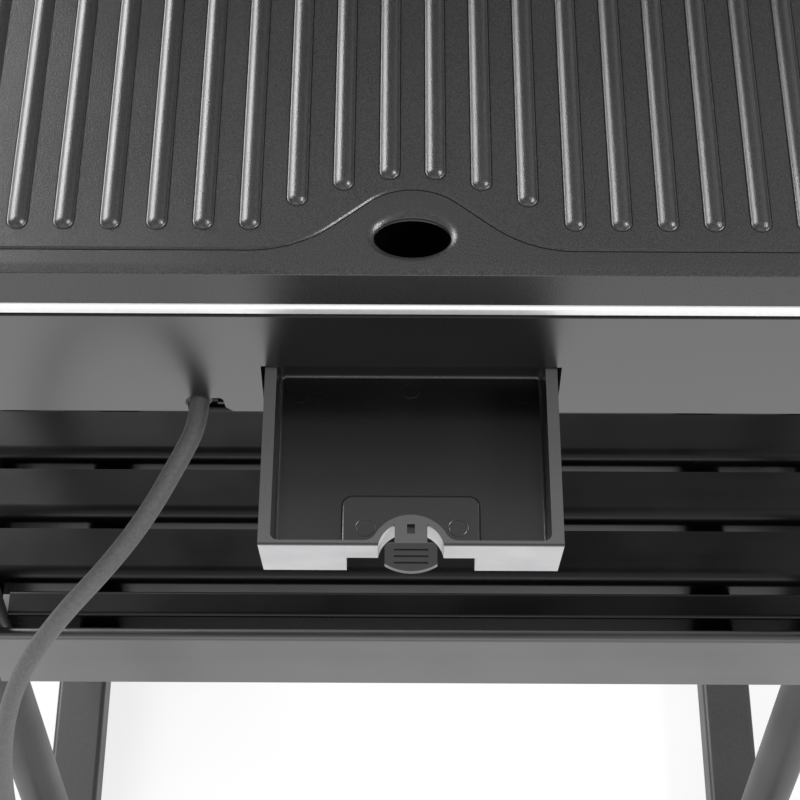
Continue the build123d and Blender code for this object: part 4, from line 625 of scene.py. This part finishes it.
# Below its edge the drain's bore is painted shade: a thin film just inside it, near black and taking
# almost no light, stands for the shade down the hole.
shade_back, shade_face, shade_lean = 0.00005, 0.0002, 0.0002
shade_top_z = drain_edge_z - 0.0009
shade_profile = np.array([
    (shade_back, shade_top_z), (shade_face, shade_top_z - shade_lean), (shade_face, spout_z),
    (shade_back, spout_z), (shade_back, shade_top_z),
])
throat_painted_shade = plain_finish("throat_painted_shade", (0.0005, 0.0005, 0.0005), roughness=1.0, IOR=1.1)
throat_mesh = closed_mesh("drain_throat", [swept(drain_outline, shade_profile)], [])
add_piece(throat_mesh, "stand", "coating", throat_painted_shade)

# Its ribs: low cast bars with a round crown and round noses, drawn back round the drain.
rib_pitch = 0.0142
rib_width = 0.0056
rib_lean = 25
rib_flank = 0.0004
rib_crown = 0.0032
crown_share = 0.92
crown_top_tilt = 2
rib_skirt = 0.0006
rib_foot_round = 0.0006
rib_shoulder_round = 0.0002
rib_side_margin = 0.018
rib_setback = 0.0166
rib_end_flat = 0.00001
rib_setbacks_at_drain = [0.0364, 0.0321, 0.0259]
rib_count = 1 + int((half_width - rib_side_margin - rib_pitch / 2) / rib_pitch)
shoulder_inset = rib_flank * math.tan(math.radians(rib_lean))
shoulder_tilt = math.asin((rib_width / 2 - shoulder_inset) / rib_crown)
shoulder_z = platform_z + rib_flank
crown_tilt = np.linspace(crown_share * shoulder_tilt, math.radians(crown_top_tilt), 12)
crown_line = np.stack([
    rib_width / 2 - rib_crown * np.sin(crown_tilt),
    shoulder_z + rib_crown * (np.cos(crown_tilt) - math.cos(shoulder_tilt)),
], axis=1)
rib_profile = np.concatenate([
    rounded_path(
        [(-rib_skirt, platform_z), (0, platform_z), (shoulder_inset, shoulder_z), crown_line[0]],
        [rib_foot_round, rib_shoulder_round],
    ),
    crown_line[1:],
])
rib_walls = []
for number in range(rib_count):
    front_setback = (rib_setbacks_at_drain + [rib_setback] * rib_count)[number]
    for side in (-1, 1):
        rib_x = side * rib_pitch * (number + 0.5)
        rib_low = (rib_x - rib_width / 2, front_y + front_setback)
        rib_high = (rib_x + rib_width / 2, rear_y - rib_setback)
        rib_walls.append(box_wall(rib_low, rib_high, rib_width / 2 - rib_end_flat, rib_profile, steps=8))
rib_tops = [([(number, -1)], True) for number in range(len(rib_walls))]
rib_mesh = closed_mesh("plate_ribs", rib_walls, rib_tops)

plate_coating = grained_finish(
    "plate_coating", (0.002, 0.002, 0.003), (0.041, 0.041, 0.043), roughness=0.31, spread=0.03,
    bump=0.00009, scale=2300.0, IOR=1.68,
)
plate_piece = add_piece(plate_mesh, "stand", "coating", plate_coating, "grill_plate")
weigh_normals(plate_piece)
rib_piece = add_piece(rib_mesh, "stand", "coating", plate_coating)
weigh_normals(rib_piece)


# Trim frame: a bright anodised strip with rounded edges, clamped between the plate and the housing.
trim_low, trim_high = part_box("trim_frame")
trim_depth = 0.005
trim_foot_round = 0.0012
trim_head_round = 0.0028
trim_back_round = 0.0002
trim_profile = rounded_path(
    [(trim_depth, trim_low[2]), (0, trim_low[2]), (0, trim_high[2]), (trim_depth, trim_high[2]),
     (trim_depth, trim_low[2])],
    [trim_foot_round, trim_head_round, trim_back_round],
    steps=10,
)
trim_mesh = closed_mesh("trim_strip", [box_wall(trim_low, trim_high, plate_corner, trim_profile)], [])
bright_trim = grained_finish(
    "bright_trim", (0.90, 0.90, 0.91), (0.95, 0.95, 0.96), roughness=0.33, spread=0.03, bump=0.00001,
    scale=500.0, Metallic=0.5,
)
add_piece(trim_mesh, "stand", "trim", bright_trim, "trim_frame")


# Housing: an injection-moulded skirt in black plastic, satin outside, with the tray's mouth and the
# cord's notch in its front wall.
def dressed(node, slot, finish, edge=0.0003, sharp=30, segments=2, reshape=None):
    """A smooth copy of a CAD node: its triangles joined, flat faces made whole, sharp edges rounded."""
    source = frame["nodes"][node]
    shape = bmesh.new()
    shape.from_mesh(source.data)
    bmesh.ops.remove_doubles(shape, verts=shape.verts, dist=1e-6)
    if reshape:
        reshape(shape)
    bmesh.ops.dissolve_limit(shape, angle_limit=math.radians(0.3), verts=shape.verts, edges=shape.edges)
    mesh = bpy.data.meshes.new(f"{node}_look")
    shape.to_mesh(mesh)
    shape.free()
    piece = add_piece(mesh, source["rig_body"], slot, finish, node, sharp=sharp)
    if edge:
        bevel = piece.modifiers.new("edges", "BEVEL")
        bevel.width = edge
        bevel.segments = segments
        bevel.limit_method = "ANGLE"
        bevel.angle_limit = math.radians(sharp)
        bevel.harden_normals = True
    weigh_normals(piece)
    return piece


housing_plastic = grained_finish(
    "housing_plastic", (0.001, 0.001, 0.0012), (0.003, 0.003, 0.0033), roughness=0.30, spread=0.03,
    bump=0.00001, scale=700.0, Coat_Weight=1.0, Coat_Roughness=0.27, IOR=1.8,
)
# The seat's lip under the trim lies in a narrow gap; a band of it is painted black as painted shade and
# shows as a black line.
gap_shade_from_z = wall_top_z - 0.0006
gap_shade_full_z = wall_top_z - 0.0004
turn_at_height(housing_plastic, gap_shade_from_z, gap_shade_full_z, color=(0, 0, 0), roughness=1.0, coat=0.0)
dressed("body_housing", "housing", housing_plastic, edge=0.0001)


# Drip tray: moulded in black plastic, with a silver skin on its front, and pulled out by its ribbed
# tab. Its rim's top is a paler, matter grey than the inside.
def mould_marks(material, wall_y):
    """Round pin marks left by the mould: a fine groove where the distance to a centre is the radius.
    Each mark is its place across, its place out from the wall and its share of the full depth."""
    mark_radius = 0.0029
    groove_half_width = 0.00028
    groove_depth = 0.00012
    marks = [(-0.0141, 0.0546, 1.0), (0.0147, 0.0546, 1.0), (0.0, -0.0011, 0.6), (-0.0363, 0.0009, 0.3),
             (0.036, 0.0009, 0.3)]
    tree = material.node_tree
    place = tree.nodes.new("ShaderNodeTexCoord")
    flat = tree.nodes.new("ShaderNodeVectorMath")
    flat.operation = "MULTIPLY"
    flat.inputs[1].default_value = (1, 1, 0)
    tree.links.new(place.outputs["Object"], flat.inputs[0])
    height = None
    for across, out, depth in marks:
        reach = tree.nodes.new("ShaderNodeVectorMath")
        reach.operation = "DISTANCE"
        reach.inputs[1].default_value = (across, wall_y - out, 0)
        off = tree.nodes.new("ShaderNodeMath")
        off.operation = "SUBTRACT"
        off.inputs[1].default_value = mark_radius
        gap = tree.nodes.new("ShaderNodeMath")
        gap.operation = "ABSOLUTE"
        level = tree.nodes.new("ShaderNodeMapRange")
        level.interpolation_type = "SMOOTHSTEP"
        level.inputs["From Max"].default_value = groove_half_width
        level.inputs["To Min"].default_value = 1 - depth
        tree.links.new(flat.outputs[0], reach.inputs[0])
        tree.links.new(reach.outputs["Value"], off.inputs[0])
        tree.links.new(off.outputs[0], gap.inputs[0])
        tree.links.new(gap.outputs[0], level.inputs["Value"])
        if height is None:
            height = level.outputs[0]
        else:
            lower = tree.nodes.new("ShaderNodeMath")
            lower.operation = "MINIMUM"
            tree.links.new(height, lower.inputs[0])
            tree.links.new(level.outputs[0], lower.inputs[1])
            height = lower.outputs[0]
    grooves = tree.nodes.new("ShaderNodeBump")
    grooves.inputs["Distance"].default_value = groove_depth
    shader_normal = tree.nodes["Principled BSDF"].inputs["Normal"]
    tree.links.new(shader_normal.links[0].from_socket, grooves.inputs["Normal"])
    tree.links.new(height, grooves.inputs["Height"])
    tree.links.new(grooves.outputs[0], shader_normal)


tray_plastic = grained_finish(
    "tray_plastic", (0.001, 0.001, 0.0012), (0.005, 0.005, 0.0055), roughness=0.30, spread=0.05,
    bump=0.00002, scale=900.0, Coat_Weight=1.0, Coat_Roughness=0.28, IOR=1.6,
)
mould_marks(tray_plastic, front_y)
tray_top_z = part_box("drip_tray")[1][2]
rim_grey_from_z = tray_top_z - 0.0006
rim_grey_full_z = tray_top_z - 0.0002
front_wall_y = front_y - 0.0637
# The rim's top turns a paler, matter grey; in front of the tray's front wall only a small share of it is
# left.
turn_at_height(
    tray_plastic, rim_grey_from_z, rim_grey_full_z, color=(0.072, 0.072, 0.073), roughness=0.55, coat=0.3,
    front=front_wall_y, ahead=0.08,
)


def round_neck_root(shape):
    """The tab's neck ends behind its collar on the collar's own circle instead of on a straight edge."""
    neck_half, root_y, collar_y, near = 0.005, -0.26414, -0.26531, 1e-5
    centre_y = (collar_y**2 + neck_half**2 - root_y**2) / (2 * (collar_y - root_y))
    roots = {
        spot for spot in shape.verts
        if abs(spot.co.y - root_y) < near and abs(abs(spot.co.x) - neck_half) < near
    }
    straight = [
        edge for edge in shape.edges
        if roots.issuperset(edge.verts) and abs(edge.verts[0].co.x - edge.verts[1].co.x) > neck_half
    ]
    bmesh.ops.subdivide_edges(shape, edges=straight, cuts=9)
    for spot in shape.verts:
        if abs(spot.co.y - root_y) < near and abs(spot.co.x) < neck_half + near:
            spot.co.y = centre_y + math.sqrt((root_y - centre_y) ** 2 - spot.co.x**2)
    bmesh.ops.remove_doubles(shape, verts=shape.verts, dist=2 * near)


tray_piece = dressed("drip_tray", "tray", tray_plastic, edge=0.0005, segments=3, reshape=round_neck_root)


def round_inner_rim(piece, inner_half_width, others):
    """Full rounding on the rim's inner side edges and a smaller one, by the share others, elsewhere."""
    corner_reach, slack = 0.005, 0.0001
    mesh = piece.data
    spots = np.empty(3 * len(mesh.vertices))
    mesh.vertices.foreach_get("co", spots)
    ends = np.empty(2 * len(mesh.edges), dtype=int)
    mesh.edges.foreach_get("vertices", ends)
    reach = np.abs(spots.reshape(-1, 3)[ends].reshape(-1, 2, 3))
    at_rim = reach[:, :, 2].min(axis=1) > tray_top_z - slack / 2
    nearest, furthest = reach[:, :, 0].min(axis=1), reach[:, :, 0].max(axis=1)
    at_side = (nearest > inner_half_width - corner_reach) & (furthest < inner_half_width + slack)
    sharp = np.empty(len(mesh.edges), dtype=bool)
    mesh.attributes["sharp_edge"].data.foreach_get("value", sharp)
    weight = mesh.attributes.new("bevel_weight_edge", "FLOAT", "EDGE")
    weight.data.foreach_set("value", np.where(at_rim & at_side, 1.0, others) * sharp)
    piece.modifiers["edges"].limit_method = "WEIGHT"


round_inner_rim(tray_piece, inner_half_width=0.04305, others=0.45)
tray_silver = grained_finish(
    "tray_silver", (0.49, 0.49, 0.50), (0.57, 0.57, 0.58), roughness=0.42, spread=0.05, bump=0.00001,
    scale=120.0, stretch=(0.4, 1, 1), Metallic=0.3,
)
dressed("tray_fascia", "trim", tray_silver, edge=0.00015)


# Under the plate: the tray's bay, a folded sheet channel screwed in the housing. The sheet cover closes
# the housing from below, and a short pipe leads the fat from the drain to the tray; the pipe is painted
# near black as painted shade, seen down the drain.
black_sheet = plain_finish("black_sheet", (0.02, 0.02, 0.02), roughness=0.5)
# The pipe's finish is painted shade: near black, rough and almost without reflection.
chute_painted_shade = plain_finish("chute_painted_shade", (0.001, 0.001, 0.001), roughness=0.9, IOR=1.1)
for node in ("tray_bay", "bottom_cover"):
    dressed(node, "black_sheet", black_sheet, edge=0)
dressed("drip_chute", "black_sheet", chute_painted_shade, edge=0)


# Shelf: dark stained boards screwed on two bearers, between side rails and deep lacquered rails front
# and back, which sit against the legs.
stained_wood = grained_finish(
    "stained_wood", (0.001, 0.001, 0.0011), (0.004, 0.0039, 0.0038), roughness=0.30, spread=0.05,
    bump=0.00004, scale=60.0, stretch=(0.05, 1, 1), IOR=1.42,
)
lacquered_wood = grained_finish(
    "lacquered_wood", (0.008, 0.008, 0.0083), (0.020, 0.0197, 0.0195), roughness=0.35, spread=0.05,
    bump=0.00003, scale=60.0, stretch=(0.05, 1, 1), Coat_Weight=1.0, Coat_Roughness=0.3, IOR=1.6,
)
for node in ("shelf_slats", "shelf_side_rails", "shelf_bearers"):
    dressed(node, "stained_wood", stained_wood, edge=0)
for node in ("shelf_front_rail", "shelf_rear_rail"):
    dressed(node, "stained_wood", lacquered_wood, edge=0.0008)


# Stand: four painted steel tubes, in moulded sockets under the housing and on two foot bars of box
# tube, which have end caps and rubber pads and are joined by a cross bar.
stand_paint = grained_finish(
    "stand_paint", (0.02, 0.02, 0.021), (0.03, 0.03, 0.031), roughness=0.45, spread=0.04, bump=0.00003,
    scale=900.0,
)
socket_plastic = plain_finish("socket_plastic", (0.018, 0.018, 0.019), roughness=0.5)
pad_rubber = plain_finish("pad_rubber", (0.02, 0.02, 0.02), roughness=0.8)
for node in ("leg_front_left", "leg_front_right", "leg_rear_left", "leg_rear_right", "foot_bar_left",
             "foot_bar_right", "rear_cross_bar"):
    dressed(node, "stand_paint", stand_paint, edge=0.0004)
for node in ("leg_sockets", "foot_bar_caps"):
    dressed(node, "socket", socket_plastic, edge=0.0006)
dressed("floor_pads", "pads", pad_rubber, edge=0.0006)


# Lid: a drawn steel dome in dark enamel, on two screwed arms that turn on riveted pins, with a bar
# handle on steel posts. The screws elsewhere and the side handles are of the same kinds.
lid_enamel = grained_finish(
    "lid_enamel", (0.020, 0.020, 0.021), (0.026, 0.026, 0.027), roughness=0.22, spread=0.03,
    bump=0.00002, scale=900.0,
)
hinge_steel = plain_finish("hinge_steel", (0.03, 0.03, 0.032), roughness=0.45)
zinc_steel = plain_finish("zinc_steel", (0.55, 0.55, 0.56), roughness=0.35, Metallic=1.0)
bright_steel = plain_finish("bright_steel", (0.60, 0.60, 0.60), roughness=0.25, Metallic=1.0)
grip_plastic = grained_finish(
    "grip_plastic", (0.018, 0.018, 0.019), (0.024, 0.024, 0.025), roughness=0.4, spread=0.04,
    bump=0.00003,
)
dressed("lid_shell", "lid_paint", lid_enamel, edge=0.0003)
for node in ("lid_arms", "hinge_bracket_left", "hinge_bracket_right"):
    dressed(node, "hinge_steel", hinge_steel, edge=0.0004)
for node in ("hinge_pins", "hinge_screws", "lid_arm_screws", "lid_handle_screws", "bottom_screws",
             "shelf_screws"):
    dressed(node, "zinc_steel", zinc_steel, edge=0.0002)
dressed("lid_handle_posts", "nickel", bright_steel, edge=0.0003)
for node in ("lid_handle", "side_handle_left", "side_handle_right"):
    dressed(node, "grip", grip_plastic, edge=0.0003)


# Controls: a knob with a light inlaid pointer, pushed on the thermostat's shaft over a silver dial
# washer, and a red lamp lens beside it.
pointer_paint = plain_finish("pointer_paint", (0.8, 0.8, 0.8), roughness=0.5)
lamp_red = plain_finish("lamp_red", (0.55, 0.02, 0.015), roughness=0.15, Transmission_Weight=0.3)
dressed("control_knob", "grip", grip_plastic, edge=0.0004)
dressed("knob_pointer", "pointer", pointer_paint, edge=0)
dressed("dial_plate", "trim", bright_trim, edge=0.0002)
dressed("lamp_lens", "lamp", lamp_red, edge=0)


# Plug: moulded on the lead's end, with two nickelled pins and the earth contacts in its sides.
plug_rubber = plain_finish("plug_rubber", (0.03, 0.03, 0.031), roughness=0.5)
dressed("plug_body", "plug", plug_rubber, edge=0.0006)
for node in ("plug_pins", "plug_contacts"):
    dressed(node, "nickel", bright_steel, edge=0.0002)


# Heating and wiring, out of sight in the housing: a tubular element under the plate, its clamps and
# reflector, the thermostat and cutout, and the lead's relief, clamp and terminals.
element_steel = plain_finish("element_steel", (0.09, 0.09, 0.085), roughness=0.4, Metallic=0.8)
reflector_sheet = plain_finish("reflector_sheet", (0.7, 0.7, 0.7), roughness=0.3, Metallic=1.0)
inner_plastic = plain_finish("inner_plastic", (0.05, 0.05, 0.05), roughness=0.5)
terminal_plastic = plain_finish("terminal_plastic", (0.5, 0.5, 0.48), roughness=0.5)
wire_sleeve = plain_finish("wire_sleeve", (0.6, 0.6, 0.58), roughness=0.6)
dressed("strain_relief", "cord", sheath_rubber, edge=0.0004)
dressed("heating_element", "heater", element_steel, edge=0)
dressed("inner_wires", "wires", wire_sleeve, edge=0)
dressed("terminal_block", "terminal", terminal_plastic, edge=0.0003)
for node in ("element_clamps", "thermostat_shaft"):
    dressed(node, "zinc_steel", zinc_steel, edge=0.0002)
dressed("heat_reflector", "bright_sheet", reflector_sheet, edge=0)
for node in ("thermostat", "lamp_holder", "thermal_cutout", "cord_clamp"):
    dressed(node, "inner_plastic", inner_plastic, edge=0.0003)
